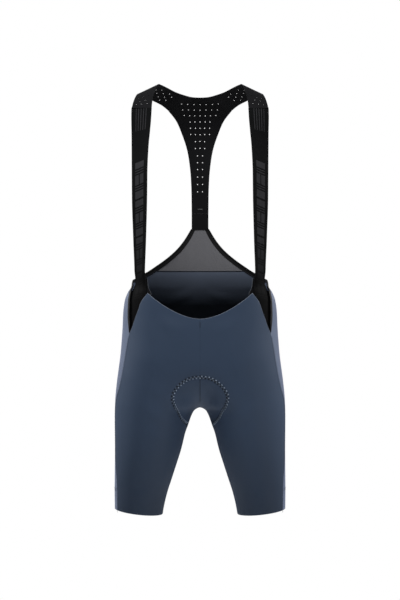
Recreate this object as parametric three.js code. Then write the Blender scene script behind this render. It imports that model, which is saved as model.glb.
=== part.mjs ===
// Cycling bib shorts, filled out as they are when worn, in millimetres.
// +X is the wearer's left, -Y the wearer's front, +Z is up.
// The origin lies midway between the tops of the two shoulder straps, which carry the garment.

import * as THREE from 'three';

// Cloth walls and layers
const CLOTH = 1.6;
const SEAM_GAP = 0.3;
const LAYER_STEP = 2.8;
const BINDING_WIDTH = 7;
const BINDING_PROUD = 1.4;
const BINDING_CLEAR = 0.4;
const STRAP_WIDTH = 42;
const STRAP_WALL = 1.6;
// The binding thins over its last stretch to a narrow tip, and starts level beside the tab
const BINDING_TAPER = 22;
const BINDING_TIP = 0.12;
const BINDING_LEVEL_SHARE = 0.25;
const BINDING_TOP_CLEAR = 1;
const BINDING_END_CLEAR = 4;
const TAB_SEAM_CLEAR = 0.8;
// The pad is thin at its edge and reaches its full thickness a ramp's length inside it
const PAD_THICKNESS = 8;
const PAD_EDGE = 2.5;
const PAD_RAMP = 25;
const PAD_CLEAR = 1.5;
const ON_CENTRE = 0.01;
// Points nearer than this to each other are one point
const SAME_POINT = 0.005;
// At a sharp corner the border is drawn in no further than this allows
const CORNER_LIMIT = 0.35;
// Steps of the searches along and round the body
const ROUND_STEP = 0.01;
const HALVINGS = 24;
const ROW_PASSES = 10;
const ROW_START_X = 100;

// The crotch saddle: the centre line of the body runs under in a quarter ellipse on each side of it
const CROTCH = {
  y: 10, z: -667, frontRise: 90, backRise: 110, frontDepth: 105, backDepth: 110, legRise: 60,
};
// Bezier handles: a quarter of an ellipse, and the flatter run across the centre line
const ROUND = 0.5523;
const CENTRE_HANDLE = 0.5;

// Levels of the centre front, the back seam and the side edges
const FRONT_DIP_Z = -482;
const FRONT_CORNER_Z = -429.5;
const APEX_Z = -513.8;
const BACK_SEAM_Z = -381.5;
const SIDE_TOP_Z = -408;
const HIP_SEAM_Z = -628;
const TAB_TOP_Z = -259;
const TAB_BOTTOM_Z = -289.4;
const TAB_HALF_WIDTH = 18;

// Rows on a leg lie in planes z = level + slope * x, which turn square to the leg towards the hem
const CROTCH_ROW = { level: CROTCH.z, slope: 0.067 };
const BAND_ROW = { level: -858.6, slope: 0.115 };
const HEM_ROW = { level: -900.5, slope: 0.115 };

// The waist edge of the front sags from its corners in a curve
const WAIST_BEND = 0.75;
// Leg rows are closer together near the crotch
const LEG_ROW_SPREAD = 1.3;
// Torso rows level with the crotch row only towards their end
const CROTCH_BLEND = 4;

// Rows and columns of the panels
const TORSO_ROWS = 18;
const ROWS_TO_APEX = 10;
const APEX_SHARE = 1 / 3;
const LEG_ROWS = 9;
const BAND_ROWS = 2;
const HALF_COLUMNS = 12;
const SIDE_COLUMNS = 4;
const MESH_GRID = { rows: 7, columns: 8 };
const TAB_GRID = { rows: 3, columns: 3 };
const BINDING_GRID = { rows: 36, columns: 2 };
const STRAP_GRID = { rows: 28, columns: 4 };
const GORE_GRID = { rows: 9, columns: 5 };
const STEM_GRID = { rows: 12, columns: 5 };
const ARM_GRID = { rows: 16, columns: 5 };
const PAD_TORSO_GRID = { rows: 8, columns: 6 };
const PAD_LEG_GRID = { rows: 4, columns: 6 };

// Horizontal sections of the body: side, front and back extremes of one half
const BODY = [
  { z: -250, sideX: 150, sideY: 0, frontX: 22, frontY: -104, backX: 20, backY: 92 },
  { z: -290, sideX: 146, sideY: 0, frontX: 22, frontY: -102, backX: 20, backY: 88 },
  { z: -380, sideX: 138, sideY: 0, frontX: 22, frontY: -99, backX: 20, backY: 84 },
  { z: -414, sideX: 143, sideY: 0, frontX: 22, frontY: -98, backX: 23, backY: 88 },
  { z: -427, sideX: 151, sideY: 1, frontX: 23, frontY: -98, backX: 26, backY: 91.3 },
  { z: -444, sideX: 157.5, sideY: 2, frontX: 24, frontY: -99, backX: 32, backY: 96.3 },
  { z: -470, sideX: 161, sideY: 4, frontX: 28, frontY: -101, backX: 45, backY: 105 },
  { z: -502, sideX: 162.5, sideY: 6, frontX: 35, frontY: -104, backX: 60, backY: 113 },
  { z: -554, sideX: 166.5, sideY: 8, frontX: 55, frontY: -105, backX: 75, backY: 122 },
  { z: -589, sideX: 171, sideY: 10, frontX: 68, frontY: -103, backX: 82, backY: 125 },
  { z: -615, sideX: 174.5, sideY: 12, frontX: 76, frontY: -100, backX: 87, backY: 123 },
  { z: -651, sideX: 178, sideY: 14, frontX: 86, frontY: -96, backX: 92, backY: 113 },
  { z: -680, sideX: 179, sideY: 14, frontX: 92, frontY: -92, backX: 96, backY: 101 },
  { z: -720, sideX: 178.7, sideY: 12, frontX: 99, frontY: -88, backX: 102, backY: 87 },
  { z: -756, sideX: 178.5, sideY: 10, frontX: 106, frontY: -84, backX: 108, backY: 79 },
  { z: -800, sideX: 178.7, sideY: 8, frontX: 115, frontY: -77, backX: 116, backY: 71 },
  { z: -838, sideX: 179, sideY: 6, frontX: 121, frontY: -71, backX: 122, backY: 66 },
  { z: -905, sideX: 178.2, sideY: 5, frontX: 129, frontY: -63, backX: 129, backY: 61 },
];

// Inner leg below the crotch, and how far the centre back lies in between the two halves
const INSEAM = [
  { z: -667, x: 0, y: 10 },
  { z: -668, x: 5, y: 10 },
  { z: -671.5, x: 11.8, y: 10 },
  { z: -680, x: 16.8, y: 10 },
  { z: -693, x: 21.4, y: 9 },
  { z: -707, x: 26.2, y: 9 },
  { z: -721, x: 31.3, y: 8 },
  { z: -756, x: 40, y: 7 },
  { z: -787, x: 49.8, y: 6 },
  { z: -816, x: 59.2, y: 5 },
  { z: -847, x: 69.3, y: 4 },
  { z: -876, x: 76.2, y: 3 },
  { z: -905, x: 81, y: 3 },
];
const CENTRE_BACK = [
  { z: -380, hollow: 0 },
  { z: -444, hollow: 2 },
  { z: -500, hollow: 4 },
  { z: -560, hollow: 6 },
  { z: -667, hollow: 6 },
];

// Free side edge of the front panel down to the apex, then its seam to the side panel
const FRONT_EDGE = [
  { z: -429.5, x: 107.8 },
  { z: -447.7, x: 121.5 },
  { z: -463, x: 126.8 },
  { z: -482, x: 134 },
  { z: -500.6, x: 140.4 },
  { z: -513.8, x: 146 },
  { z: -544, x: 152 },
  { z: -568, x: 155.8 },
  { z: -600, x: 161.6 },
  { z: -628, x: 168 },
];
// Below the hip that seam is given by its place round the leg, 1 at the front and 2 at the side
const THIGH_SEAM = [
  { z: -660, round: 1.86 },
  { z: -700, round: 1.92 },
  { z: -760, round: 1.87 },
  { z: -838, round: 1.68 },
  { z: -905, round: 1.66 },
];
// Free front edge of the side panel down to the apex, also by its place round the body
const SIDE_EDGE = [
  { z: -408, round: 2 },
  { z: -420, round: 1.893 },
  { z: -434, round: 1.802 },
  { z: -458, round: 1.752 },
  { z: -485, round: 1.7227 },
];
const SIDE_BACK_SEAM = [
  { z: -409, round: 2.35 },
  { z: -520, round: 2.42 },
  { z: -640, round: 2.45 },
  { z: -760, round: 2.4 },
  { z: -905, round: 2.35 },
];
// Cut edge from the top of the mesh, along the armhole, to the side
const ARMHOLE = [
  { x: 10.9, z: -290.2 },
  { x: 23.9, z: -314 },
  { x: 40.3, z: -336 },
  { x: 53.7, z: -349.5 },
  { x: 71, z: -364 },
  { x: 91.6, z: -378.8 },
  { x: 106, z: -388.5 },
  { x: 118, z: -395.5 },
  { x: 133, z: -403.5 },
  { x: 142, z: -408 },
];

// Shoulder straps: centre line, and how far each is turned from facing the front
const STRAP = [
  { z: -46.5, x: 121.1, y: -51, turn: 2 },
  { z: -65, x: 121.2, y: -66, turn: 10 },
  { z: -95, x: 121.6, y: -83, turn: 24 },
  { z: -130, x: 122.6, y: -96, turn: 34 },
  { z: -178, x: 123.3, y: -105, turn: 40 },
  { z: -233, x: 123.5, y: -103, turn: 42 },
  { z: -320, x: 124, y: -81, turn: 51 },
  { z: -396, x: 125, y: -56, turn: 59 },
  { z: -423, x: 128, y: -51, turn: 54 },
  { z: -453, x: 131, y: -52, turn: 46 },
  { z: -480, x: 134.5, y: -54, turn: 45 },
  { z: -506, x: 141, y: -54, turn: 48 },
];
const STRAP_ON_BODY = { from: -380, to: -420 };

// Black side gore behind the strap, and how far its top falls towards the side
const GORE_FALL = 12;
const GORE = [
  { z: -397, inner: 113, outer: 134 },
  { z: -414, inner: 110.5, outer: 142.9 },
  { z: -430, inner: 103.5, outer: 151 },
  { z: -452, inner: 113, outer: 156 },
  { z: -482, inner: 126, outer: 156.5 },
  { z: -506, inner: 138, outer: 150 },
];

// Racer-back yoke: one half, rows from the neck side to the armhole side
const YOKE_STEM = [
  { nx: 0, ny: 91.1, nz: -258.6, ax: 18, ay: 91.1, az: -258.6, level: 1 },
  { nx: 0, ny: 97, nz: -197.5, ax: 19, ay: 95.5, az: -197.5, level: 1 },
  { nx: 0, ny: 101, nz: -157, ax: 21.8, ay: 99.5, az: -158, level: 1 },
  { nx: 0, ny: 103, nz: -117, ax: 28.1, ay: 101, az: -119, level: 1 },
  { nx: 0, ny: 100, nz: -82, ax: 38.6, ay: 96, az: -87, level: 1 },
  { nx: 0, ny: 89, nz: -48, ax: 51, ay: 85, az: -59, level: 1 },
  { nx: 0, ny: 62, nz: -11, ax: 68.5, ay: 67, az: -37.5, level: 1 },
];
const YOKE_ARM = [
  { nx: 0, ny: 62, nz: -11, ax: 68.5, ay: 67, az: -37.5, level: 1 },
  { nx: 17.5, ny: 61, nz: -9.9, ax: 75, ay: 62, az: -32.5, level: 0.8 },
  { nx: 34, ny: 58, nz: -6, ax: 82, ay: 55, az: -28, level: 0.5 },
  { nx: 51.4, ny: 50, nz: -0.8, ax: 91, ay: 46, az: -24, level: 0.2 },
  { nx: 68.6, ny: 35, nz: 6.4, ax: 106, ay: 30, az: -18.5, level: 0 },
  { nx: 82, ny: 15, nz: 10.4, ax: 122, ay: 14, az: -12.2, level: 0 },
  { nx: 88, ny: 0, nz: 9.6, ax: 130, ay: 0, az: -10.4, level: 0 },
  { nx: 94, ny: -14, nz: -4, ax: 134.4, ay: -16, az: -17.5, level: 0 },
  { nx: 98.4, ny: -30, nz: -22, ax: 138.4, ay: -33, az: -30, level: 0 },
  { nx: 100.4, ny: -49, nz: -45.6, ax: 141.6, ay: -51, az: -46, level: 0 },
];

// Pad outline: how far it reaches round the inner thigh from the centre line, 0 to 1 being a quarter
const PAD_FRONT = [
  { z: -603, reach: 0.16 },
  { z: -612, reach: 0.5 },
  { z: -626, reach: 0.68 },
  { z: -640, reach: 0.72 },
  { z: -662, reach: 0.62 },
  { z: -684, reach: 0.42 },
  { z: -702, reach: 0.12 },
];
const PAD_BACK = [
  { z: -560, reach: 0.3 },
  { z: -572, reach: 0.62 },
  { z: -600, reach: 0.8 },
  { z: -630, reach: 0.84 },
  { z: -662, reach: 0.66 },
  { z: -684, reach: 0.42 },
  { z: -702, reach: 0.12 },
];

const COLOURS = {
  body: 0x3d495c,
  side: 0x5b667d,
  black: 0x16161a,
  mesh: 0x57575a,
  elastic: 0x1a1a1c,
  pad: 0x2b2f36,
};

const mix = (a, b, t) => a + (b - a) * t;
const clamp = (value, low, high) => Math.min(high, Math.max(low, value));
// Full at the first row of a piece, and soon gone below it
const topFade = (v) => Math.pow(1 - v, 3);

// A smooth curve without overshoot through one column of a table, against its key column
function through(rows, key, column) {
  const keys = rows.map((row) => row[key]);
  const values = rows.map((row) => row[column]);
  const slopes = [];
  for (let i = 0; i + 1 < keys.length; i += 1) {
    slopes.push((values[i + 1] - values[i]) / (keys[i + 1] - keys[i]));
  }
  const tangents = keys.map((_, i) => {
    const before = slopes[Math.max(0, i - 1)];
    const after = slopes[Math.min(slopes.length - 1, i)];
    return before * after <= 0 ? 0 : (2 * before * after) / (before + after);
  });
  const rising = keys[1] > keys[0];
  return (key) => {
    let i = 0;
    while (i < keys.length - 2 && (rising ? key > keys[i + 1] : key < keys[i + 1])) {
      i += 1;
    }
    const span = keys[i + 1] - keys[i];
    const t = clamp((key - keys[i]) / span, 0, 1);
    const rest = 1 - t;
    return values[i] * rest * rest * (1 + 2 * t) + tangents[i] * span * t * rest * rest
      + values[i + 1] * t * t * (3 - 2 * t) - tangents[i + 1] * span * t * t * rest;
  };
}

const body = {};
for (const column of ['sideX', 'sideY', 'frontX', 'frontY', 'backX', 'backY']) {
  body[column] = through(BODY, 'z', column);
}
const inseamX = through(INSEAM, 'z', 'x');
const inseamY = through(INSEAM, 'z', 'y');
const backHollow = through(CENTRE_BACK, 'z', 'hollow');

// Depth of the centre line as it runs under: 0 at the crotch, 1 above the rise
function arch(height, rise) {
  const lift = clamp(height / rise, 0, 1);
  return Math.sqrt(1 - (1 - lift) * (1 - lift));
}

// Control points of the four quarters of one half section: front, front side, back side, back
function sectionQuarters(z) {
  const side = [body.sideX(z), body.sideY(z)];
  const front = [body.frontX(z), body.frontY(z)];
  const back = [body.backX(z), body.backY(z)];
  const height = z - CROTCH.z;
  const legShare = Math.sqrt(clamp(-height / CROTCH.legRise, 0, 1));
  let frontInner = [inseamX(z), inseamY(z)];
  let backInner = frontInner;
  let frontHandle = [0, ROUND * (front[1] - frontInner[1]) * legShare];
  let backHandle = [0, ROUND * (back[1] - backInner[1]) * legShare];
  if (height >= 0) {
    const frontDepth = arch(height, CROTCH.frontRise);
    const backDepth = arch(height, CROTCH.backRise);
    frontInner = [0, mix(CROTCH.y, front[1], frontDepth)];
    backInner = [0, mix(CROTCH.y, back[1] - backHollow(z), backDepth)];
    frontHandle = [CENTRE_HANDLE * front[0] * frontDepth, 0];
    backHandle = [CENTRE_HANDLE * back[0] * backDepth, 0];
  }
  const frontReach = ROUND * (front[0] - frontInner[0]);
  const backReach = ROUND * (back[0] - backInner[0]);
  return [
    [
      frontInner,
      [frontInner[0] + frontHandle[0], frontInner[1] + frontHandle[1]],
      [front[0] - frontReach, front[1]],
      front,
    ],
    [
      front,
      [mix(front[0], side[0], ROUND), front[1]],
      [side[0], mix(side[1], front[1], ROUND)],
      side,
    ],
    [
      side,
      [side[0], mix(side[1], back[1], ROUND)],
      [mix(back[0], side[0], ROUND), back[1]],
      back,
    ],
    [
      back,
      [back[0] - backReach, back[1]],
      [backInner[0] + backHandle[0], backInner[1] + backHandle[1]],
      backInner,
    ],
  ];
}

// A point of the body surface at height z, going round from 0 at the centre front to 4 at the back
function bodyPoint(z, round) {
  const quarter = Math.min(3, Math.floor(round));
  const [a, b, c, d] = sectionQuarters(z)[quarter];
  const t = round - quarter;
  const s = 1 - t;
  const weights = [s * s * s, 3 * s * s * t, 3 * s * t * t, t * t * t];
  const at = (axis) => a[axis] * weights[0] + b[axis] * weights[1]
    + c[axis] * weights[2] + d[axis] * weights[3];
  return new THREE.Vector3(at(0), at(1), z);
}

function bodyNormal(z, round) {
  const ahead = bodyPoint(z, Math.min(4, round + ROUND_STEP));
  const along = ahead.sub(bodyPoint(z, Math.max(0, round - ROUND_STEP)));
  const up = bodyPoint(z + 1, round).sub(bodyPoint(z - 1, round));
  return along.cross(up).normalize();
}

// The place round the body where the surface is x from the centre, on its front or its back
function roundAtX(z, x, onBack) {
  let low = onBack ? 4 : 0;
  let high = 2;
  for (let i = 0; i < HALVINGS; i += 1) {
    const middle = (low + high) / 2;
    if (bodyPoint(z, middle).x < x) {
      low = middle;
    } else {
      high = middle;
    }
  }
  return (low + high) / 2;
}

// Seam lines as places round the body
const frontEdgeX = through(FRONT_EDGE, 'z', 'x');
const sideBackRound = through(SIDE_BACK_SEAM, 'z', 'round');
const hipSeam = { z: HIP_SEAM_Z, round: roundAtX(HIP_SEAM_Z, frontEdgeX(HIP_SEAM_Z), false) };
const thighSeamRound = through([hipSeam, ...THIGH_SEAM], 'z', 'round');
const apex = { z: APEX_Z, round: roundAtX(APEX_Z, frontEdgeX(APEX_Z), false) };
const sideEdgeRound = through([...SIDE_EDGE, apex], 'z', 'round');
const armholeZ = through(ARMHOLE, 'x', 'z');
const armholeX = through(ARMHOLE, 'z', 'x');

// The top corner between side panel and back lies on the armhole edge
function armholeCorner() {
  const passes = 12;
  let point = bodyPoint(SIDE_TOP_Z, sideBackRound(SIDE_TOP_Z));
  for (let i = 0; i < passes; i += 1) {
    const z = armholeZ(point.x);
    point = bodyPoint(z, sideBackRound(z));
  }
  return point;
}

const sideBackCorner = armholeCorner();

function frontSeamRound(z) {
  return z > HIP_SEAM_Z ? roundAtX(z, frontEdgeX(z), false) : thighSeamRound(z);
}

function sideFrontRound(z) {
  return z > APEX_Z ? sideEdgeRound(z) : frontSeamRound(z);
}

// A point between two seam lines, on the row whose height is a function of x
function pointOnRow(heightAt, fromRound, toRound, t) {
  let z = heightAt(ROW_START_X);
  let point = null;
  for (let i = 0; i < ROW_PASSES; i += 1) {
    point = bodyPoint(z, mix(fromRound(z), toRound(z), t));
    z = heightAt(point.x);
  }
  return point;
}

// Surfaces are lists of points and of triangles between them

function grid(rows, columns, pointAt) {
  const points = [];
  const faces = [];
  for (let row = 0; row <= rows; row += 1) {
    for (let column = 0; column <= columns; column += 1) {
      points.push(pointAt(row / rows, column / columns));
    }
  }
  const width = columns + 1;
  for (let row = 0; row < rows; row += 1) {
    for (let column = 0; column < columns; column += 1) {
      const corner = row * width + column;
      faces.push([corner, corner + width, corner + width + 1]);
      faces.push([corner, corner + width + 1, corner + 1]);
    }
  }
  return { points, faces };
}

const turned = (surface) => ({
  points: surface.points,
  faces: surface.faces.map(([a, b, c]) => [a, c, b]),
});

const mirrored = (surface) => turned({
  points: surface.points.map((point) => new THREE.Vector3(-point.x, point.y, point.z)),
  faces: surface.faces,
});

// One surface from several, with the points that they share made one
function joined(...surfaces) {
  const places = new Map();
  const points = [];
  const faces = [];
  for (const surface of surfaces) {
    const numbers = surface.points.map((point) => {
      const place = [point.x, point.y, point.z].map((value) => Math.round(value / SAME_POINT)).join(' ');
      if (!places.has(place)) {
        places.set(place, points.length);
        points.push(point.clone());
      }
      return places.get(place);
    });
    for (const face of surface.faces) {
      const [a, b, c] = face.map((corner) => numbers[corner]);
      if (a !== b && b !== c && c !== a) {
        faces.push([a, b, c]);
      }
    }
  }
  return { points, faces };
}

function pointNormals({ points, faces }) {
  const normals = points.map(() => new THREE.Vector3());
  for (const [a, b, c] of faces) {
    const edge = points[b].clone().sub(points[a]);
    const normal = edge.cross(points[c].clone().sub(points[a]));
    for (const corner of [a, b, c]) {
      normals[corner].add(normal);
    }
  }
  // The two halves of the garment mirror each other, so nothing leans across the centre plane
  return normals.map((normal, i) => {
    normal.x = Math.abs(points[i].x) < ON_CENTRE ? 0 : normal.x;
    return normal.normalize();
  });
}

// Border edges, each running with its triangle
function borderEdges(faces) {
  const used = new Set();
  for (const [a, b, c] of faces) {
    used.add(`${a} ${b}`).add(`${b} ${c}`).add(`${c} ${a}`);
  }
  return [...used].map((edge) => edge.split(' ').map(Number))
    .filter(([a, b]) => !used.has(`${b} ${a}`));
}

// The surface with its border drawn in, so that two pieces sewn together keep the seam gap
function drawnIn(surface, normals, distance) {
  const inward = new Map();
  for (const [a, b] of borderEdges(surface.faces)) {
    const along = surface.points[b].clone().sub(surface.points[a]).normalize();
    for (const corner of [a, b]) {
      const side = normals[corner].clone().cross(along).normalize();
      inward.set(corner, [...(inward.get(corner) ?? []), side]);
    }
  }
  const points = surface.points.map((point, corner) => {
    const sides = inward.get(corner);
    if (!sides) {
      return point;
    }
    const [first, second = first] = sides;
    const share = distance / Math.max(CORNER_LIMIT, 1 + first.dot(second));
    return point.clone().addScaledVector(first.clone().add(second), share);
  });
  return { points, faces: surface.faces };
}

// A closed wall between two offsets of a surface; the inner offset may vary from point to point
function wall(flat, outer, inner) {
  const normals = pointNormals(flat);
  const surface = drawnIn(flat, normals, SEAM_GAP / 2);
  const count = surface.points.length;
  const offsets = [() => outer, typeof inner === 'function' ? inner : () => inner];
  const positions = [];
  for (const offset of offsets) {
    surface.points.forEach((point, i) => {
      const moved = point.clone().addScaledVector(normals[i], offset(point));
      positions.push(moved.x, moved.y, moved.z);
    });
  }
  const index = [];
  for (const [a, b, c] of surface.faces) {
    index.push(a, b, c, a + count, c + count, b + count);
  }
  for (const [a, b] of borderEdges(surface.faces)) {
    index.push(b, a, a + count, b, a + count, b + count);
  }
  const geometry = new THREE.BufferGeometry();
  geometry.setAttribute('position', new THREE.Float32BufferAttribute(positions, 3));
  geometry.setIndex(index);
  geometry.computeVertexNormals();
  return geometry;
}

const clothWall = (surface) => wall(surface, CLOTH / 2, -CLOTH / 2);

// Height of the centre line for an even step along it, from a level down to the crotch
function centreHeight(top, rise, depth, v) {
  const straight = top - (CROTCH.z + rise);
  const round = (Math.PI / 2) * Math.sqrt((rise * rise + depth * depth) / 2);
  const run = v * (straight + round);
  if (run < straight) {
    return top - run;
  }
  const angle = ((run - straight) / round) * (Math.PI / 2);
  return CROTCH.z + rise * (1 - Math.sin(angle));
}

// Rows between two planes
function planeRow(first, last, share) {
  const level = mix(first.level, last.level, share);
  const slope = mix(first.slope, last.slope, share);
  return (x) => level + slope * x;
}

const legRow = (v) => planeRow(CROTCH_ROW, BAND_ROW, Math.pow(v, LEG_ROW_SPREAD));
const bandRow = (v) => planeRow(BAND_ROW, HEM_ROW, v);

// How far down the torso a row is; the rows are closer together above the apex
function torsoShare(v) {
  const row = v * TORSO_ROWS;
  if (row < ROWS_TO_APEX) {
    return (APEX_SHARE * row) / ROWS_TO_APEX;
  }
  return mix(APEX_SHARE, 1, (row - ROWS_TO_APEX) / (TORSO_ROWS - ROWS_TO_APEX));
}

// Torso rows keep the same heights on every seam below the apex
function seamHeight(top, v) {
  const end = crotchRowHeight(body.sideX(CROTCH.z));
  if (v < APEX_SHARE) {
    return mix(top, APEX_Z, v / APEX_SHARE);
  }
  return mix(APEX_Z, end, (v - APEX_SHARE) / (1 - APEX_SHARE));
}

const crotchRowHeight = (x) => CROTCH_ROW.level + CROTCH_ROW.slope * x;

// A row of the torso, which turns into the first row of the leg at the crotch
const torsoRow = (heightAt, v) => (x) => (
  mix(heightAt(x), crotchRowHeight(x), Math.pow(v, CROTCH_BLEND))
);

const centreFront = () => 0;
const centreBack = () => 4;

function frontHalf() {
  const torso = grid(TORSO_ROWS, HALF_COLUMNS, (row, t) => {
    const v = torsoShare(row);
    const inner = centreHeight(FRONT_DIP_Z, CROTCH.frontRise, CROTCH.frontDepth, v);
    const outer = seamHeight(FRONT_CORNER_Z, v);
    const edge = bodyPoint(outer, frontSeamRound(outer)).x;
    const bend = 1 + WAIST_BEND * (1 - v) * (1 - v);
    const heightAt = (x) => mix(inner, outer, Math.pow(clamp(x / edge, 0, 1), bend));
    return pointOnRow(torsoRow(heightAt, v), centreFront, frontSeamRound, t);
  });
  const leg = grid(LEG_ROWS, HALF_COLUMNS, (v, t) => (
    pointOnRow(legRow(v), centreFront, frontSeamRound, t)
  ));
  const hem = grid(BAND_ROWS, HALF_COLUMNS, (v, t) => (
    pointOnRow(bandRow(v), centreFront, frontSeamRound, t)
  ));
  return joined(torso, leg, hem);
}

// How far the armhole edge rises above a straight line between the side panel's top corners
function armholeRise(t) {
  const level = mix(SIDE_TOP_Z, sideBackCorner.z, t);
  const round = mix(sideFrontRound(level), sideBackRound(level), t);
  return armholeZ(bodyPoint(level, round).x) - level;
}

function sidePanel() {
  const hip = grid(TORSO_ROWS, SIDE_COLUMNS, (row, t) => {
    const v = torsoShare(row);
    const straight = mix(seamHeight(SIDE_TOP_Z, v), seamHeight(sideBackCorner.z, v), t);
    const level = straight + topFade(v) * armholeRise(t);
    return pointOnRow(torsoRow(() => level, v), sideFrontRound, sideBackRound, t);
  });
  const leg = grid(LEG_ROWS, SIDE_COLUMNS, (v, t) => (
    pointOnRow(legRow(v), sideFrontRound, sideBackRound, t)
  ));
  return joined(hip, leg);
}

function backHalf() {
  const torso = grid(TORSO_ROWS, HALF_COLUMNS, (row, t) => {
    const v = torsoShare(row);
    const inner = centreHeight(BACK_SEAM_Z, CROTCH.backRise, CROTCH.backDepth, v);
    const outer = seamHeight(sideBackCorner.z, v);
    const edge = bodyPoint(outer, sideBackRound(outer)).x;
    const topShare = topFade(v);
    const heightAt = (x) => {
      const share = clamp(x / edge, 0, 1);
      const top = Math.min(BACK_SEAM_Z, armholeZ(share * sideBackCorner.x));
      const straightTop = mix(BACK_SEAM_Z, sideBackCorner.z, share);
      return mix(inner, outer, share) + topShare * (top - straightTop);
    };
    return pointOnRow(torsoRow(heightAt, v), centreBack, sideBackRound, t);
  });
  const leg = grid(LEG_ROWS, HALF_COLUMNS, (v, t) => (
    pointOnRow(legRow(v), centreBack, sideBackRound, t)
  ));
  return turned(joined(torso, leg));
}

function legBand() {
  const side = grid(BAND_ROWS, SIDE_COLUMNS, (v, t) => (
    pointOnRow(bandRow(v), frontSeamRound, sideBackRound, t)
  ));
  const back = grid(BAND_ROWS, HALF_COLUMNS, (v, t) => (
    pointOnRow(bandRow(v), sideBackRound, centreBack, t)
  ));
  return joined(side, back);
}

// A piece across the back between two levels, as wide on each side as a half width tells
function backStrip({ rows, columns }, top, bottom, halfWidth) {
  const half = grid(rows, columns, (v, t) => {
    const z = mix(top, bottom, v);
    return bodyPoint(z, t === 0 ? 4 : roundAtX(z, t * halfWidth(z), true));
  });
  return turned(joined(half, mirrored(half)));
}

const backMesh = () => backStrip(MESH_GRID, TAB_BOTTOM_Z - TAB_SEAM_CLEAR, BACK_SEAM_Z, armholeX);
const backTab = () => backStrip(TAB_GRID, TAB_TOP_Z, TAB_BOTTOM_Z, () => TAB_HALF_WIDTH);

// Cut edge that the binding follows: mesh, armhole, then the front of the side panel
function boundEdge(s) {
  const seamX = armholeX(BACK_SEAM_Z);
  if (s < 1) {
    const z = mix(TAB_BOTTOM_Z - BINDING_TOP_CLEAR, BACK_SEAM_Z, s);
    return { z, round: roundAtX(z, armholeX(z), true) };
  }
  if (s < 2) {
    const x = mix(seamX, body.sideX(SIDE_TOP_Z), s - 1);
    const z = armholeZ(x);
    return { z, round: roundAtX(z, x, true) };
  }
  const z = mix(SIDE_TOP_Z, APEX_Z + BINDING_END_CLEAR, s - 2);
  return { z, round: sideFrontRound(z) };
}

function binding() {
  const stretches = 3;
  const step = 0.01;
  return grid(BINDING_GRID.rows, BINDING_GRID.columns, (v, t) => {
    const s = v * stretches;
    const { z, round } = boundEdge(s);
    const from = boundEdge(Math.max(0, s - step));
    const to = boundEdge(Math.min(stretches, s + step));
    const along = bodyPoint(to.z, to.round).sub(bodyPoint(from.z, from.round));
    const outward = along.cross(bodyNormal(z, round)).normalize();
    const level = clamp(1 - s / BINDING_LEVEL_SHARE, 0, 1);
    outward.lerp(new THREE.Vector3(1, 0, 0), level).normalize();
    const taper = clamp((z - APEX_Z) / BINDING_TAPER, BINDING_TIP, 1);
    const width = s < 2 ? BINDING_WIDTH : BINDING_WIDTH * taper;
    return bodyPoint(z, round).addScaledVector(outward, mix(BINDING_CLEAR, width, t));
  });
}

// A point of the body a given distance round from a place on the same level
function roundBy(z, round, distance) {
  const steps = 8;
  let place = round;
  for (let i = 0; i < steps; i += 1) {
    const gap = bodyPoint(z, place + ROUND_STEP).distanceTo(bodyPoint(z, place - ROUND_STEP));
    const speed = gap / (2 * ROUND_STEP);
    place += distance / steps / speed;
  }
  return place;
}

function layered(z, round, depth) {
  return bodyPoint(z, round).addScaledVector(bodyNormal(z, round), -depth);
}

function strap() {
  const centreX = through(STRAP, 'z', 'x');
  const centreY = through(STRAP, 'z', 'y');
  const turn = through(STRAP, 'z', 'turn');
  const topZ = STRAP[0].z;
  const bottomZ = STRAP[STRAP.length - 1].z;
  return grid(STRAP_GRID.rows, STRAP_GRID.columns, (v, t) => {
    const z = mix(topZ, bottomZ, v);
    const across = (t - 0.5) * STRAP_WIDTH;
    const angle = THREE.MathUtils.degToRad(turn(z));
    const free = new THREE.Vector3(
      centreX(z) + across * Math.cos(angle),
      centreY(z) + across * Math.sin(angle),
      z,
    );
    const share = clamp((STRAP_ON_BODY.from - z) / (STRAP_ON_BODY.from - STRAP_ON_BODY.to), 0, 1);
    if (share === 0) {
      return free;
    }
    const round = roundBy(z, roundAtX(z, centreX(z), false), across);
    return free.lerp(layered(z, round, LAYER_STEP), share * share * (3 - 2 * share));
  });
}

function gore() {
  const inner = through(GORE, 'z', 'inner');
  const outer = through(GORE, 'z', 'outer');
  const topZ = GORE[0].z;
  const bottomZ = GORE[GORE.length - 1].z;
  return grid(GORE_GRID.rows, GORE_GRID.columns, (v, t) => {
    const z = mix(topZ, bottomZ, v) - GORE_FALL * t * topFade(v);
    const round = mix(roundAtX(z, inner(z), false), roundAtX(z, outer(z), false), t);
    return layered(z, round, 2 * LAYER_STEP);
  });
}

// A table of yoke rows made into a patch: smooth along the rows, arched across them
function yokePatch(table, { rows, columns }) {
  const neck = new THREE.CatmullRomCurve3(
    table.map((row) => new THREE.Vector3(row.nx, row.ny, row.nz)), false, 'centripetal');
  const arm = new THREE.CatmullRomCurve3(
    table.map((row) => new THREE.Vector3(row.ax, row.ay, row.az)), false, 'centripetal');
  const numbered = table.map((row, i) => ({ at: i / (table.length - 1), level: row.level }));
  const level = through(numbered, 'at', 'level');
  return grid(rows, columns, (v, t) => {
    const start = neck.getPoint(v);
    const end = arm.getPoint(v);
    const chord = end.clone().sub(start);
    const reach = chord.length() / 3;
    const leave = chord.clone().normalize().lerp(new THREE.Vector3(1, 0, 0), level(v)).normalize();
    const first = start.clone().addScaledVector(leave, reach);
    const second = end.clone().addScaledVector(chord, -1 / 3);
    return new THREE.CubicBezierCurve3(start, first, second, end).getPoint(t);
  });
}

function yoke() {
  const half = joined(yokePatch(YOKE_STEM, STEM_GRID), yokePatch(YOKE_ARM, ARM_GRID));
  return turned(joined(half, mirrored(half)));
}

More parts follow.
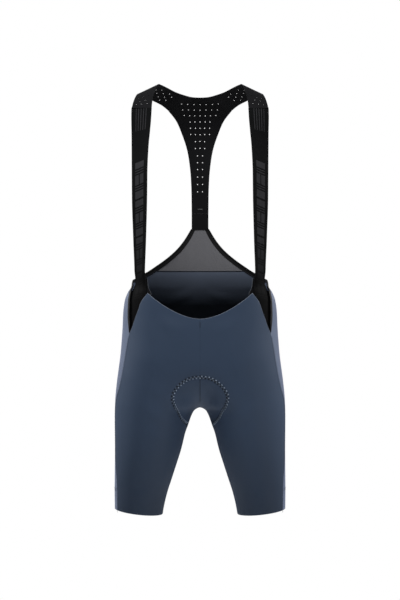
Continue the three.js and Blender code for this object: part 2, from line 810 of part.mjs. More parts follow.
// The pad lies inside the crotch, against the panels, and thins towards its edge
function padSurface() {
  const side = (table, onBack) => {
    const reach = through(table, 'z', 'reach');
    const topZ = table[0].z;
    const bottomZ = table[table.length - 1].z;
    const part = ({ rows, columns }, heightAt) => grid(rows, columns, (v, t) => {
      const z = heightAt(v);
      const round = reach(z) * t;
      return bodyPoint(z, onBack ? 4 - round : round);
    });
    const torso = part(PAD_TORSO_GRID, (v) => mix(CROTCH.z, topZ, (1 - v) * (1 - v)));
    const leg = part(PAD_LEG_GRID, (v) => mix(CROTCH.z, bottomZ, v));
    const half = joined(torso, leg);
    return onBack ? turned(half) : half;
  };
  const half = joined(side(PAD_FRONT, false), side(PAD_BACK, true));
  return joined(half, mirrored(half));
}

function padGeometry() {
  const surface = padSurface();
  const border = borderEdges(surface.faces).map(([a]) => surface.points[a]);
  const gap = CLOTH / 2 + PAD_CLEAR;
  const thickness = (point) => {
    const distance = Math.min(...border.map((edge) => edge.distanceTo(point)));
    return mix(PAD_EDGE, PAD_THICKNESS, clamp(distance / PAD_RAMP, 0, 1));
  };
  return wall(surface, -gap, (point) => -gap - thickness(point));
}

function finish(colour, roughness) {
  return new THREE.MeshStandardMaterial({ color: colour, roughness, metalness: 0 });
}

const MATERIALS = {
  body: finish(COLOURS.body, 0.75),
  side: finish(COLOURS.side, 0.7),
  black: finish(COLOURS.black, 0.8),
  mesh: finish(COLOURS.mesh, 0.85),
  elastic: finish(COLOURS.elastic, 0.7),
  pad: finish(COLOURS.pad, 0.9),
};

const garment = new THREE.Group();

function addPiece(name, geometry, material) {
  const piece = new THREE.Mesh(geometry, MATERIALS[material]);
  piece.name = name;
  garment.add(piece);
}

// Pieces that come in pairs are made on the wearer's left and mirrored
function addPair(name, surface, material, makeWall) {
  addPiece(`${name}_left`, makeWall(surface), material);
  addPiece(`${name}_right`, makeWall(mirrored(surface)), material);
}

const strapWall = (surface) => wall(surface, STRAP_WALL / 2, -STRAP_WALL / 2);
const bindingWall = (surface) => wall(surface, BINDING_PROUD, -CLOTH / 2);

addPair('front', frontHalf(), 'body', clothWall);
addPair('side', sidePanel(), 'side', clothWall);
const back = backHalf();
addPiece('back', clothWall(joined(back, mirrored(back))), 'body');
addPair('leg_band', legBand(), 'side', clothWall);
addPair('gore', gore(), 'black', clothWall);
addPair('strap', strap(), 'elastic', strapWall);
addPair('binding', binding(), 'black', bindingWall);
addPiece('yoke', clothWall(yoke()), 'black');
addPiece('back_tab', clothWall(backTab()), 'black');
addPiece('back_mesh', clothWall(backMesh()), 'mesh');
addPiece('pad', padGeometry(), 'pad');

export default garment;
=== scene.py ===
"""Cycling bib shorts, filled out as they are when worn.

+X is the wearer's left, -Y the wearer's front and +Z is up. The body of the shorts is worked out in
millimetres from the same sections as the frame's solids, and every piece is a thin shell on them.
"""

import math

import bpy
import numpy as np
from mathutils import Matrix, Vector


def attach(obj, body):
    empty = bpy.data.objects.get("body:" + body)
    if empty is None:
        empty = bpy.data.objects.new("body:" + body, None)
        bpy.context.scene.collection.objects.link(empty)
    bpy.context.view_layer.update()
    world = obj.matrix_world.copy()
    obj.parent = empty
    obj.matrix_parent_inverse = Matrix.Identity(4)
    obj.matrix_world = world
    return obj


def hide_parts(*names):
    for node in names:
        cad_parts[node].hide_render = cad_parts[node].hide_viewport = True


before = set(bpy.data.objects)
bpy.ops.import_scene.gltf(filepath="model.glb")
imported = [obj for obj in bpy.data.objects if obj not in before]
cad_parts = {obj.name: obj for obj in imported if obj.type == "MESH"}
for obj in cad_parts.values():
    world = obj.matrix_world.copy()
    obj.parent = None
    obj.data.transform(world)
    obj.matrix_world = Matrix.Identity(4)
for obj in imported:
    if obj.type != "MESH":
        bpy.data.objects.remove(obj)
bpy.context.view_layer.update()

MM = 0.001
ROOT = "root"

# Cloth and trims, in millimetres
CLOTH = 1.1
STRAP_WALL = 1.4
STRAP_WIDTH = 42
LAYER_STEP = 2.8
SEAM_GAP = 0.16
TWIN_STITCH = 1.7
HOLE_RADIUS = 1.05
PUNCH_LENGTH = 12
EDGE_BEAD = 0.6
CENTRE_BEAD = 0.5
RIDGE_BEAD = 0.9
CLOTH_INNER = 0.5
LAP = 3

# Where stitching lies: the centre seam's shown levels, the tack and the tab's seam as width, y, z
CENTRE_SEAM = {"waist": (-486, -501), "seat": (-604, -656)}
BAR_TACK_LINE = (10, 90.75, -248.0)
TAB_SEAM_LINE = (32, 88.9, -257.6)
STITCH_TOP_CLEAR = 6
STITCH_BOTTOM_Z = -884
BAND_SEAM_ROUND = (1.72, 3.98)
STRAP_SEAM_ROW = 3

# The binding thins over its last stretch to a narrow tip, and starts level beside the tab
BINDING_WIDTH = 7
BINDING_WALL = 2.4
BINDING_CROWN = 0.5
BINDING_CLEAR = 0.3
BINDING_WRAP = 1.8
BINDING_TAPER = 22
BINDING_TIP = 0.12
BINDING_LEVEL_SHARE = 0.25
BINDING_TOP_CLEAR = 1
BINDING_END_CLEAR = 4
TAB_SEAM_CLEAR = 0.8
TAB_INSET = 1.25

# The pad lies inside the solids' wall, thins to its edge and has a channel down its centre
PAD_CLEAR = 0.8 + 1.5
PAD_EDGE = 2.2
PAD_THICKNESS = 7.4
PAD_LEAST = 1.2
PAD_RAMP = 26
PAD_CHANNEL_DEPTH = 1.6
PAD_CHANNEL_REACH = 7
PAD_FOAM = 8

# The knit is cut smaller than it is worn: its stretch round the body and along it, and the straps'
KNIT_STRETCH = (1.16, 1.04)
ELASTIC_STRETCH = (1.0, 1.1)
BINDING_CUT = 12

# The crotch saddle: the centre line of the body runs under in a quarter ellipse on each side of it
CROTCH_Y = 10
CROTCH_Z = -667
FRONT_RISE = 90
BACK_RISE = 110
FRONT_DEPTH = 105
BACK_DEPTH = 110
LEG_RISE = 60
# Bezier handles: a quarter of an ellipse, and the flatter run across the centre line
ROUND = 0.5523
CENTRE_HANDLE = 0.5

# Levels of the centre front, the back seam and the side edges
FRONT_DIP_Z = -482
FRONT_CORNER_Z = -429.5
APEX_Z = -513.8
BACK_SEAM_Z = -381.5
SIDE_TOP_Z = -408
HIP_SEAM_Z = -628
TAB_TOP_Z = -259
TAB_BOTTOM_Z = -289.4
TAB_HALF_WIDTH = 18

# Rows on a leg lie in planes z = level + slope * x
CROTCH_ROW = (CROTCH_Z, 0.067)
BAND_ROW = (-858.6, 0.115)
HEM_ROW = (-900.5, 0.115)
APEX_SHARE = 1 / 3
# The waist edge sags in a curve, leg rows are closer near the crotch, and torso rows level late
WAIST_BEND = 0.75
LEG_ROW_SPREAD = 1.3
CROTCH_BLEND = 4
ROW_PASSES = 8
ROW_START_X = 100.0

# Rows and columns of the panels
TORSO_ROWS = 84
LEG_ROWS = 64
HEM_ROWS = 12
HALF_COLUMNS = 56
SIDE_COLUMNS = 20

# How the rows near the crotch are eased: passes, rows on each side, and columns left and blended
EASE_PASSES = 60
EASE_ROWS = 26
EASE_COLUMNS = (0.02, 0.16)


def table(names, *rows):
    """Rows of numbers under named columns."""
    return {name: np.array(column, float) for name, column in zip(names.split(), zip(*rows))}


# Horizontal sections of the body: side, front and back extremes of one half
BODY = table(
    "z side_x side_y front_x front_y back_x back_y",
    (-250, 150, 0, 22, -104, 20, 92),
    (-290, 146, 0, 22, -102, 20, 88),
    (-380, 138, 0, 22, -99, 20, 84),
    (-414, 143, 0, 22, -98, 23, 88),
    (-427, 151, 1, 23, -98, 26, 91.3),
    (-444, 157.5, 2, 24, -99, 32, 96.3),
    (-470, 161, 4, 28, -101, 45, 105),
    (-502, 162.5, 6, 35, -104, 60, 113),
    (-554, 166.5, 8, 55, -105, 75, 122),
    (-589, 171, 10, 68, -103, 82, 125),
    (-615, 174.5, 12, 76, -100, 87, 123),
    (-651, 178, 14, 86, -96, 92, 113),
    (-680, 179, 14, 92, -92, 96, 101),
    (-720, 178.7, 12, 99, -88, 102, 87),
    (-756, 178.5, 10, 106, -84, 108, 79),
    (-800, 178.7, 8, 115, -77, 116, 71),
    (-838, 179, 6, 121, -71, 122, 66),
    (-905, 178.2, 5, 129, -63, 129, 61),
)
INSEAM = table(
    "z x y",
    (-667, 0, 10),
    (-668, 5, 10),
    (-671.5, 11.8, 10),
    (-680, 16.8, 10),
    (-693, 21.4, 9),
    (-707, 26.2, 9),
    (-721, 31.3, 8),
    (-756, 40, 7),
    (-787, 49.8, 6),
    (-816, 59.2, 5),
    (-847, 69.3, 4),
    (-876, 76.2, 3),
    (-905, 81, 3),
)
CENTRE_BACK = table("z hollow", (-380, 0), (-444, 2), (-500, 4), (-560, 6), (-667, 6))

# Seams and cut edges; "round" is the place round the body, 0 centre front, 2 side, 4 centre back
FRONT_EDGE = table(
    "z x",
    (-429.5, 107.8),
    (-447.7, 121.5),
    (-463, 126.8),
    (-482, 134),
    (-500.6, 140.4),
    (-513.8, 146),
    (-544, 152),
    (-568, 155.8),
    (-600, 161.6),
    (-628, 168),
)
THIGH_SEAM = ((-660, 1.86), (-700, 1.92), (-760, 1.87), (-838, 1.68), (-905, 1.66))
SIDE_EDGE = ((-408, 2), (-420, 1.893), (-434, 1.802), (-458, 1.752), (-485, 1.7227))
SIDE_BACK_SEAM = table(
    "z round", (-409, 2.35), (-520, 2.42), (-640, 2.45), (-760, 2.4), (-905, 2.35)
)
ARMHOLE = table(
    "x z",
    (10.9, -290.2),
    (23.9, -314),
    (40.3, -336),
    (53.7, -349.5),
    (71, -364),
    (91.6, -378.8),
    (106, -388.5),
    (118, -395.5),
    (133, -403.5),
    (142, -408),
)

# Straps: centre line, and how far each is turned from facing the front
STRAP = table(
    "z x y turn",
    (-46.5, 121.1, -51, 2),
    (-65, 121.2, -66, 10),
    (-95, 121.6, -83, 24),
    (-130, 122.6, -96, 34),
    (-178, 123.3, -105, 40),
    (-233, 123.5, -103, 42),
    (-320, 124, -81, 51),
    (-396, 125, -56, 59),
    (-423, 128, -51, 54),
    (-453, 131, -52, 46),
    (-480, 134.5, -54, 45),
    (-506, 141, -54, 48),
)
STRAP_ON_BODY = (-380, -420)
STRAP_LAP_DEPTH = 1.4
STRAP_END_DEPTH = 1.3
# Black gore behind the strap, and how far its top falls towards the side
GORE_FALL = 12
GORE = table(
    "z inner outer",
    (-397, 113, 134),
    (-414, 110.5, 142.9),
    (-430, 103.5, 151),
    (-452, 113, 156),
    (-482, 126, 156.5),
    (-506, 138, 150),
)

# Racer-back yoke: one half, rows from the neck side to the armhole side
YOKE_STEM = table(
    "nx ny nz ax ay az level",
    (0, 91.1, -258.6, 18, 91.1, -258.6, 1),
    (0, 97, -197.5, 19, 95.5, -197.5, 1),
    (0, 101, -157, 21.8, 99.5, -158, 1),
    (0, 103, -117, 28.1, 101, -119, 1),
    (0, 100, -82, 38.6, 96, -87, 1),
    (0, 89, -48, 51, 85, -59, 1),
    (0, 62, -11, 68.5, 67, -37.5, 1),
)
YOKE_ARM = table(
    "nx ny nz ax ay az level",
    (0, 62, -11, 68.5, 67, -37.5, 1),
    (17.5, 61, -9.9, 75, 62, -32.5, 0.8),
    (34, 58, -6, 82, 55, -28, 0.5),
    (51.4, 50, -0.8, 91, 46, -24, 0.2),
    (68.6, 35, 6.4, 106, 30, -18.5, 0),
    (82, 15, 10.4, 122, 14, -12.2, 0),
    (88, 0, 9.6, 130, 0, -10.4, 0),
    (94, -14, -4, 134.4, -16, -17.5, 0),
    (98.4, -30, -22, 138.4, -33, -30, 0),
    (100.4, -49, -45.6, 141.6, -51, -46, 0),
)

# Punched holes across the back of the yoke: height, how many, and how far apart
PUNCHED_ROWS = table(
    "z count pitch",
    (-24.3, 7, 13.2),
    (-35.5, 7, 12.2),
    (-46.8, 7, 11.2),
    (-59.7, 5, 10.6),
    (-72.6, 5, 10.2),
    (-86.2, 5, 10.2),
    (-100.9, 3, 9.8),
    (-115.6, 3, 9.8),
    (-131.3, 2, 10.6),
    (-146.2, 2, 10.6),
    (-161.6, 2, 10.6),
    (-177.7, 2, 10.6),
    (-193.3, 2, 10.6),
    (-210.3, 2, 10.6),
)
# Those along each arm: how far along they start, stop and step, and their columns of 60 in turn
ARM_HOLE_START = 34.0
ARM_HOLE_END = 12
ARM_HOLE_STEP = 11.5
ARM_HOLE_COLUMNS = ((23, 40), (15, 32, 48))

# Pad outline: how far it reaches round the inner thigh from the centre line
PAD_FRONT = table(
    "z reach",
    (-603, 0.16),
    (-612, 0.5),
    (-626, 0.68),
    (-640, 0.72),
    (-662, 0.62),
    (-684, 0.42),
    (-702, 0.12),
)
PAD_BACK = table(
    "z reach",
    (-560, 0.3),
    (-572, 0.62),
    (-600, 0.8),
    (-630, 0.84),
    (-662, 0.66),
    (-684, 0.42),
    (-702, 0.12),
)
# Zigzag that holds the pad, as it shows on the front: half of it, from the centre outwards
PAD_STITCH = table(
    "x z",
    (0, -600.5),
    (12, -601.5),
    (24, -604.5),
    (36, -612),
    (45, -620),
    (52, -629),
    (56, -638),
    (56.5, -648),
    (52.5, -660),
    (47, -672),
    (41, -685),
    (33, -696),
    (27, -702),
)

# What each kind of piece hangs from when it is worn
HANGS_FROM = {
    "front": ["strap_{side}", "side_{side}"],
    "side": ["back"],
    "back": ["back_mesh"],
    "leg_band": ["front_{side}", "back"],
    "gore": ["strap_{side}"],
    "strap": ["yoke"],
    "binding": ["side_{side}", "back_mesh"],
    "back_mesh": ["back_tab"],
    "back_tab": ["yoke"],
    "yoke": [],
}

# Soft creases of the stretched knit: from, to, how wide and how deep; a negative depth is a ridge
FRONT_CREASES = table(
    "x0 z0 x1 z1 width depth",
    (64, -672, 112, -636, 13, 1.0),
    (40, -722, 118, -690, 12, 0.9),
    (66, -622, 132, -572, 16, 0.8),
    (20, -498, 88, -462, 12, 0.5),
    (104, -470, 70, -520, 14, 0.6),
    (120, -760, 128, -850, 20, 1.0),
    (95, -820, 152, -838, 9, 0.5),
    (134, -560, 120, -640, 15, 0.7),
)
BACK_CREASES = table(
    "x0 z0 x1 z1 width depth",
    (18, -640, 96, -690, 12, -2.2),
    (30, -676, 128, -712, 10, -1.7),
    (52, -720, 142, -732, 12, -1.2),
    (10, -428, 66, -446, 9, 1.3),
    (16, -464, 92, -473, 11, 1.0),
    (108, -520, 74, -600, 16, 1.1),
    (70, -806, 136, -790, 12, 1.1),
)

# How the knit bulges over the pad and is drawn in by its stitching, seen from the front
PAD_CENTRE_Z = -646
PAD_HALF_SIZE = (59, 46)
PAD_BULGE = 1.3
PAD_BULGE_RAMP = 9
STITCH_DEPTH = 0.9
STITCH_REACH = 2.4

# Threads: how far apart, how long or how far from side to side, and how thick
SEAM_STITCH = {"Step": 3.4, "Length": 2.6, "Radius": 0.32}
PAD_ZIGZAG = {"Step": 3.7, "Swing": 5.0, "Radius": 0.32, "Knot": 1.25}
# The dark zigzag set opposite the pale one is painted shade: its knots stand for the shaded needle
# holes beside the pale stitches
PAD_ZIGZAG_SHADE = {"Step": 3.7, "Swing": -5.0, "Radius": 0.4, "Knot": 1.5}
TACK_ZIGZAG = {"Step": 0.9, "Swing": 2.6, "Radius": 0.35, "Knot": 0.4}

# The straps' woven design, in millimetres from their top: fine lines, then blocks in repeats
STRAP_LANE = 11.5
STRAP_LINES = {"end": 62, "step": 5.2, "width": 1.6}
STRAP_DESIGN = {"start": 131, "end": 420, "offset": 53, "repeat": 78}
# Each block: along the repeat from and to, and across the strap from and to
STRAP_BLOCKS = (
    (0, 13, -STRAP_LANE, STRAP_LANE),
    (16, 18, -STRAP_LANE, STRAP_LANE),
    (21, 23, -STRAP_LANE, STRAP_LANE),
    (26, 46, -STRAP_LANE, -1.3),
    (26, 46, 1.3, STRAP_LANE),
    (49, 51, -STRAP_LANE, STRAP_LANE),
    (54, 56, -STRAP_LANE, STRAP_LANE),
    (59, 74, -STRAP_LANE, STRAP_LANE),
)

# Stage and camera, in metres. The camera is taken to look level, at the middle of the photograph
FLOOR_Z = -1.29
FLOOR_RADIUS = 1.15
FLOOR_CORNERS = 96
CAMERA_DISTANCE = 3.6
CAMERA_Z = -0.443
CAMERA_X = -0.0001
PHOTO_PIXELS_HIGH = 600
PIXEL = 0.0021
SENSOR = 36

# Lights: place, what each is aimed at, width and height in metres, and watts
SHORTS_CENTRE = (0, 0, -0.5)
LIGHTS = {
    "left_strip": ((-1.8, 0.8, 0.5), SHORTS_CENTRE, (0.8, 1.0), 24),
    "right_strip": ((1.8, 0.8, 0.5), SHORTS_CENTRE, (0.8, 1.1), 25),
    "right_low": ((1.9, -1.25, -0.72), (-0.05, 0, -0.7), (0.6, 0.9), 7),
    "top_box": ((-0.4, -1.0, 1.15), SHORTS_CENTRE, (1.4, 1.0), 25),
    "back_fill": ((0, 2.2, 0.2), (0, 0, -0.4), (2.0, 1.6), 9),
}
ROOM_LIGHT = 0.06

# Colours of the cloth, as sRGB hex
BODY_BLUE = "3d4e66"
SIDE_BLUE = "74829b"
CUT_EDGE = "8c96a6"
BLACK_KNIT = "0f0f12"
STRAP_BLACK = "0f1011"
STRAP_GREY = "3c3c3f"
BINDING_BLACK = "0a0a0c"
MESH_GREY = "78787c"
THREAD_DARK = "121822"
THREAD_PALE = "b4c6de"
PAD_DARK = "22262d"
TACK_GREY = "9a9a9c"

# Shade that is set in the colour, since the lights alone don't give it: the darker colour, and the
# heights, or for the straps the way down, where it starts and is reached, in metres
LEG_SHADE = ("2d3a4d", -0.66, -0.90)
INSIDE_SHADE = ("0f141b", -0.386, -0.455)
STRAP_SHADE = ("030304", 0.27, 0.38)
STRAP_SHADE_SHARE = 0.9

# A wave texture's bands repeat every 0.314 m at scale 1. Knit and mesh are drawn as fine as shows,
# in metres: real wales are taken as 0.4 mm apart, and the mesh's real openings as 1.2 mm
BANDS_REPEAT = 0.314159
WALE = 0.0010053
MESH_PITCH = 0.0024


def mix(a, b, t):
    return a + (b - a) * t


def through(rows, key, column):
    """A smooth curve without overshoot through one column of a table, against its key column."""
    keys = rows[key]
    values = rows[column]
    if keys[0] > keys[-1]:
        keys = keys[::-1]
        values = values[::-1]
    slopes = np.diff(values) / np.diff(keys)
    before = np.concatenate((slopes[:1], slopes))
    after = np.concatenate((slopes, slopes[-1:]))
    same_way = before * after > 0
    total = np.where(same_way, before + after, 1)
    tangents = np.where(same_way, 2 * before * after / total, 0)

    def curve(at):
        at = np.clip(np.asarray(at, float), keys[0], keys[-1])
        i = np.clip(np.searchsorted(keys, at, side="right") - 1, 0, len(keys) - 2)
        span = keys[i + 1] - keys[i]
        t = (at - keys[i]) / span
        rest = 1 - t
        return (
            values[i] * rest * rest * (1 + 2 * t)
            + tangents[i] * span * t * rest * rest
            + values[i + 1] * t * t * (3 - 2 * t)
            - tangents[i + 1] * span * t * t * rest
        )

    return curve


side_x, side_y, front_x, front_y, back_x, back_y = (
    through(BODY, "z", column)
    for column in ("side_x", "side_y", "front_x", "front_y", "back_x", "back_y")
)
inseam_x = through(INSEAM, "z", "x")
inseam_y = through(INSEAM, "z", "y")
back_hollow = through(CENTRE_BACK, "z", "hollow")
front_edge_x = through(FRONT_EDGE, "z", "x")
side_back_round = through(SIDE_BACK_SEAM, "z", "round")
armhole_z = through(ARMHOLE, "x", "z")
armhole_x = through(ARMHOLE, "z", "x")


def arch(height, rise):
    """Depth of the centre line as it runs under: 0 at the crotch, 1 above the rise."""
    lift = np.clip(height / rise, 0, 1)
    return np.sqrt(1 - (1 - lift) ** 2)


def body_point(z, place):
    """Points of the body surface at height z, at a place round it from 0, centre front, to 4."""
    z, place = np.broadcast_arrays(np.asarray(z, float), np.asarray(place, float))
    height = z - CROTCH_Z
    above = height >= 0
    leg_share = np.sqrt(np.clip(-height / LEG_RISE, 0, 1))
    front_depth = arch(height, FRONT_RISE)
    back_depth = arch(height, BACK_RISE)
    side = (side_x(z), side_y(z))
    front = (front_x(z), front_y(z))
    back = (back_x(z), back_y(z))
    inner_x = np.where(above, 0, inseam_x(z))
    inner_front = np.where(above, mix(CROTCH_Y, front[1], front_depth), inseam_y(z))
    inner_back = np.where(above, mix(CROTCH_Y, back[1] - back_hollow(z), back_depth), inseam_y(z))
    out_front = np.where(above, CENTRE_HANDLE * front[0] * front_depth, 0)
    out_back = np.where(above, CENTRE_HANDLE * back[0] * back_depth, 0)
    fore = np.where(above, 0, ROUND * (front[1] - inner_front) * leg_share)
    aft = np.where(above, 0, ROUND * (back[1] - inner_back) * leg_share)
    quarters = (
        ((inner_x, inner_front), (inner_x + out_front, inner_front + fore),
         (mix(front[0], inner_x, ROUND), front[1]), front),
        (front, (mix(front[0], side[0], ROUND), front[1]),
         (side[0], mix(side[1], front[1], ROUND)), side),
        (side, (side[0], mix(side[1], back[1], ROUND)),
         (mix(back[0], side[0], ROUND), back[1]), back),
        (back, (mix(back[0], inner_x, ROUND), back[1]),
         (inner_x + out_back, inner_back + aft), (inner_x, inner_back)),
    )
    index = np.clip(np.floor(place), 0, 3).astype(int)
    t = place - index
    s = 1 - t
    weights = (s**3, 3 * s * s * t, 3 * s * t * t, t**3)
    out = np.empty(z.shape + (3,))
    for axis in (0, 1):
        total = 0
        for corner, weight in enumerate(weights):
            total = total + weight * np.choose(index, [quarter[corner][axis] for quarter in quarters])
        out[..., axis] = total
    out[..., 2] = z
    return out


def unit(vectors):
    return vectors / np.maximum(np.linalg.norm(vectors, axis=-1, keepdims=True), 1e-9)


def body_normal(z, place):
    step = 0.01
    along = body_point(z, np.minimum(4, place + step)) - body_point(z, np.maximum(0, place - step))
    up = body_point(z + 1, place) - body_point(z - 1, place)
    return unit(np.cross(along, up))


def round_at_x(z, x, on_back):
    """The place round the body where the surface is x from the centre, on its front or back."""
    z, x = np.broadcast_arrays(np.asarray(z, float), np.asarray(x, float))
    low = np.full(z.shape, 4.0 if on_back else 0.0)
    high = np.full(z.shape, 2.0)
    for _ in range(26):
        middle = (low + high) / 2
        inside = body_point(z, middle)[..., 0] < x
        low = np.where(inside, middle, low)
        high = np.where(inside, high, middle)
    return (low + high) / 2


HIP_SEAM_ROUND = float(round_at_x(HIP_SEAM_Z, front_edge_x(HIP_SEAM_Z), False))
thigh_seam_round = through(
    table("z round", (HIP_SEAM_Z, HIP_SEAM_ROUND), *THIGH_SEAM), "z", "round"
)
APEX_ROUND = float(round_at_x(APEX_Z, front_edge_x(APEX_Z), False))
side_edge_round = through(table("z round", *SIDE_EDGE, (APEX_Z, APEX_ROUND)), "z", "round")


def armhole_corner():
    """The top corner between side panel and back, which lies on the armhole edge."""
    point = body_point(SIDE_TOP_Z, side_back_round(SIDE_TOP_Z))
    for _ in range(12):
        z = armhole_z(point[0])
        point = body_point(z, side_back_round(z))
    return float(point[0]), float(point[2])


CORNER_X, CORNER_Z = armhole_corner()


def front_seam_round(z):
    z = np.asarray(z, float)
    return np.where(z > HIP_SEAM_Z, round_at_x(z, front_edge_x(z), False), thigh_seam_round(z))


def side_front_round(z):
    z = np.asarray(z, float)
    return np.where(z > APEX_Z, side_edge_round(z), front_seam_round(z))


def centre_front(z):
    return np.zeros_like(z)


def centre_back(z):
    return np.full_like(z, 4.0)


def points_on_rows(height_at, from_round, to_round, t):
    """Points between two seam lines, on rows whose height is a function of x."""
    z = height_at(np.full(t.shape, ROW_START_X))
    for _ in range(ROW_PASSES):
        points = body_point(z, mix(from_round(z), to_round(z), t))
        z = height_at(points[..., 0])
    return points


def rows_and_columns(rows, columns):
    """Shares down and across a grid, each as an array of the grid's shape."""
    return np.meshgrid(np.linspace(0, 1, rows + 1), np.linspace(0, 1, columns + 1), indexing="ij")


def plane_row(first, last, share):
    level = mix(first[0], last[0], share)
    slope = mix(first[1], last[1], share)
    return lambda x: level + slope * x


def crotch_row_height(x):
    return CROTCH_ROW[0] + CROTCH_ROW[1] * x


def torso_row(height_at, v):
    """A row of the torso, which turns into the first row of the leg at the crotch."""
    return lambda x: mix(height_at(x), crotch_row_height(x), v**CROTCH_BLEND)


def seam_height(top, v):
    end = crotch_row_height(side_x(CROTCH_Z))
    upper = mix(top, APEX_Z, v / APEX_SHARE)
    lower = mix(APEX_Z, end, (v - APEX_SHARE) / (1 - APEX_SHARE))
    return np.where(v < APEX_SHARE, upper, lower)


def centre_height(top, rise, depth, v):
    """Height of the centre line for an even step along it, from a level down to the crotch."""
    straight = top - (CROTCH_Z + rise)
    curved = (math.pi / 2) * math.sqrt((rise * rise + depth * depth) / 2)
    run = v * (straight + curved)
    angle = np.clip((run - straight) / curved, 0, 1) * math.pi / 2
    return np.where(run < straight, top - run, CROTCH_Z + rise * (1 - np.sin(angle)))


# Relief: how far the knit lies out of, or into, the plain form

def near_line(points, x0, z0, x1, z1):
    """Distance from a line seen from the front or back, and the share of the way along it."""
    run = np.array((x1 - x0, z1 - z0))
    offset = np.stack((points[..., 0] - x0, points[..., 2] - z0), axis=-1)
    share = (offset @ run) / (run @ run)
    nearest = offset - np.clip(share, 0, 1)[..., None] * run
    return np.linalg.norm(nearest, axis=-1), np.clip(share, 0, 1)


def creases(points, rows):
    """Soft troughs that fade at both ends, each with a slight ridge beside it."""
    relief = np.zeros(points.shape[:-1])
    for x0, z0, x1, z1, width, depth in zip(*rows.values()):
        distance, share = near_line(points, x0, z0, x1, z1)
        reach = distance / width
        fade = np.sin(math.pi * mix(0.06, 0.94, share)) ** 1.5
        trough = np.exp(-reach**2) - 0.45 * np.exp(-((reach - 1.7) ** 2) * 1.6)
        relief -= depth * fade * trough
    return relief


def spline(rows, names, at):
    """Centripetal Catmull-Rom curve through table rows, as the frame's solids have it."""
    knots = np.stack([rows[name] for name in names], axis=-1)
    first = 2 * knots[0] - knots[1]
    last = 2 * knots[-1] - knots[-2]
    knots = np.concatenate((first[None], knots, last[None]))
    place = np.clip(at, 0, 1) * (len(knots) - 3)
    i = np.minimum(np.floor(place).astype(int), len(knots) - 4)
    t = (place - i)[..., None]
    p0, p1, p2, p3 = (knots[i + k] for k in range(4))
    steps = [
        np.maximum(np.linalg.norm(b - a, axis=-1, keepdims=True), 1e-4) ** 0.5
        for a, b in ((p0, p1), (p1, p2), (p2, p3))
    ]
    d0, d1, d2 = steps
    leave = ((p1 - p0) / d0 - (p2 - p0) / (d0 + d1) + (p2 - p1) / d1) * d1
    arrive = ((p2 - p1) / d1 - (p3 - p1) / (d1 + d2) + (p3 - p2) / d2) * d1
    a = 2 * (p1 - p2) + leave + arrive
    b = -3 * (p1 - p2) - 2 * leave - arrive
    return ((a * t + b) * t + leave) * t + p1


def stitch_outline():
    """The pad's zigzag line on the wearer's left front, close points along it."""
    line = spline(PAD_STITCH, ("x", "z"), np.linspace(0, 1, 180))
    x, z = np.maximum(line[:, 0], 0), line[:, 1]
    place = np.where(x < 0.01, 0.0, round_at_x(z, x, False))
    return body_point(z, place), body_normal(z, place)


OUTLINE_POINTS, OUTLINE_NORMALS = stitch_outline()


def pad_relief(points):
    """The pad pushes the knit out a little inside its outline, and the stitching pulls it in."""
    flat = points.reshape(-1, 3)
    distance = np.full(len(flat), 1e9)
    for start in range(0, len(OUTLINE_POINTS), 8):
        chunk = OUTLINE_POINTS[start:start + 8]
        gaps = np.linalg.norm(flat[:, None, :] - chunk[None], axis=-1)
        distance = np.minimum(distance, gaps.min(axis=1))
    distance = distance.reshape(points.shape[:-1])
    across, up = PAD_HALF_SIZE
    centre = np.hypot(points[..., 0] / across, (points[..., 2] - PAD_CENTRE_Z) / up)
    inside = np.clip((1 - centre) * 3, 0, 1)
    bulge = PAD_BULGE * inside * np.clip(distance / PAD_BULGE_RAMP, 0, 1)
    return bulge - STITCH_DEPTH * np.exp(-((distance / STITCH_REACH) ** 2))


def front_relief(points):
    return creases(points, FRONT_CREASES) + pad_relief(points)


def back_relief(points):
    return creases(points, BACK_CREASES)


# Grids of points for each piece, on the wearer's left

def eased(points):
    """The grid with its rows near the crotch row eased, so that thigh and seat run into each other."""
    rows = np.abs(np.arange(len(points)) - TORSO_ROWS)
    columns = np.linspace(0, 1, points.shape[1])
    reach = np.clip((columns - EASE_COLUMNS[0]) / EASE_COLUMNS[1], 0, 1)
    weight = np.clip(1 - rows / EASE_ROWS, 0, 1)[:, None] * reach * 0.5
    out = points.copy()
    for _ in range(EASE_PASSES):
        middle = (out[:-2] + out[2:]) / 2
        out[1:-1] += (middle - out[1:-1]) * weight[1:-1, :, None]
    return out


def grid_normals(points):
    down = np.gradient(points, axis=0)
    across = np.gradient(points, axis=1)
    return unit(np.cross(down, across))


def leg_rows(from_round, to_round, columns):
    """Rows from the crotch down to the leg band."""
    v, t = rows_and_columns(LEG_ROWS, columns)
    return points_on_rows(
        plane_row(CROTCH_ROW, BAND_ROW, v**LEG_ROW_SPREAD), from_round, to_round, t
    )


def hem_rows(from_round, to_round, columns):
    v, t = rows_and_columns(HEM_ROWS, columns)
    return points_on_rows(plane_row(BAND_ROW, HEM_ROW, v), from_round, to_round, t)


def front_half():
    v, t = rows_and_columns(TORSO_ROWS, HALF_COLUMNS)
    inner = centre_height(FRONT_DIP_Z, FRONT_RISE, FRONT_DEPTH, v)
    outer = seam_height(FRONT_CORNER_Z, v)
    edge = body_point(outer, front_seam_round(outer))[..., 0]
    bend = 1 + WAIST_BEND * (1 - v) ** 2
    torso = points_on_rows(
        torso_row(lambda x: mix(inner, outer, np.clip(x / edge, 0, 1) ** bend), v),
        centre_front, front_seam_round, t,
    )
    leg = leg_rows(centre_front, front_seam_round, HALF_COLUMNS)
    hem = hem_rows(centre_front, front_seam_round, HALF_COLUMNS)
    return eased(np.concatenate((torso, leg[1:], hem[1:])))


def armhole_rise(t):
    """How far the armhole edge rises above a straight line between the side panel's top corners."""
    level = mix(SIDE_TOP_Z, CORNER_Z, t)
    place = mix(side_front_round(level), side_back_round(level), t)
    return armhole_z(body_point(level, place)[..., 0]) - level


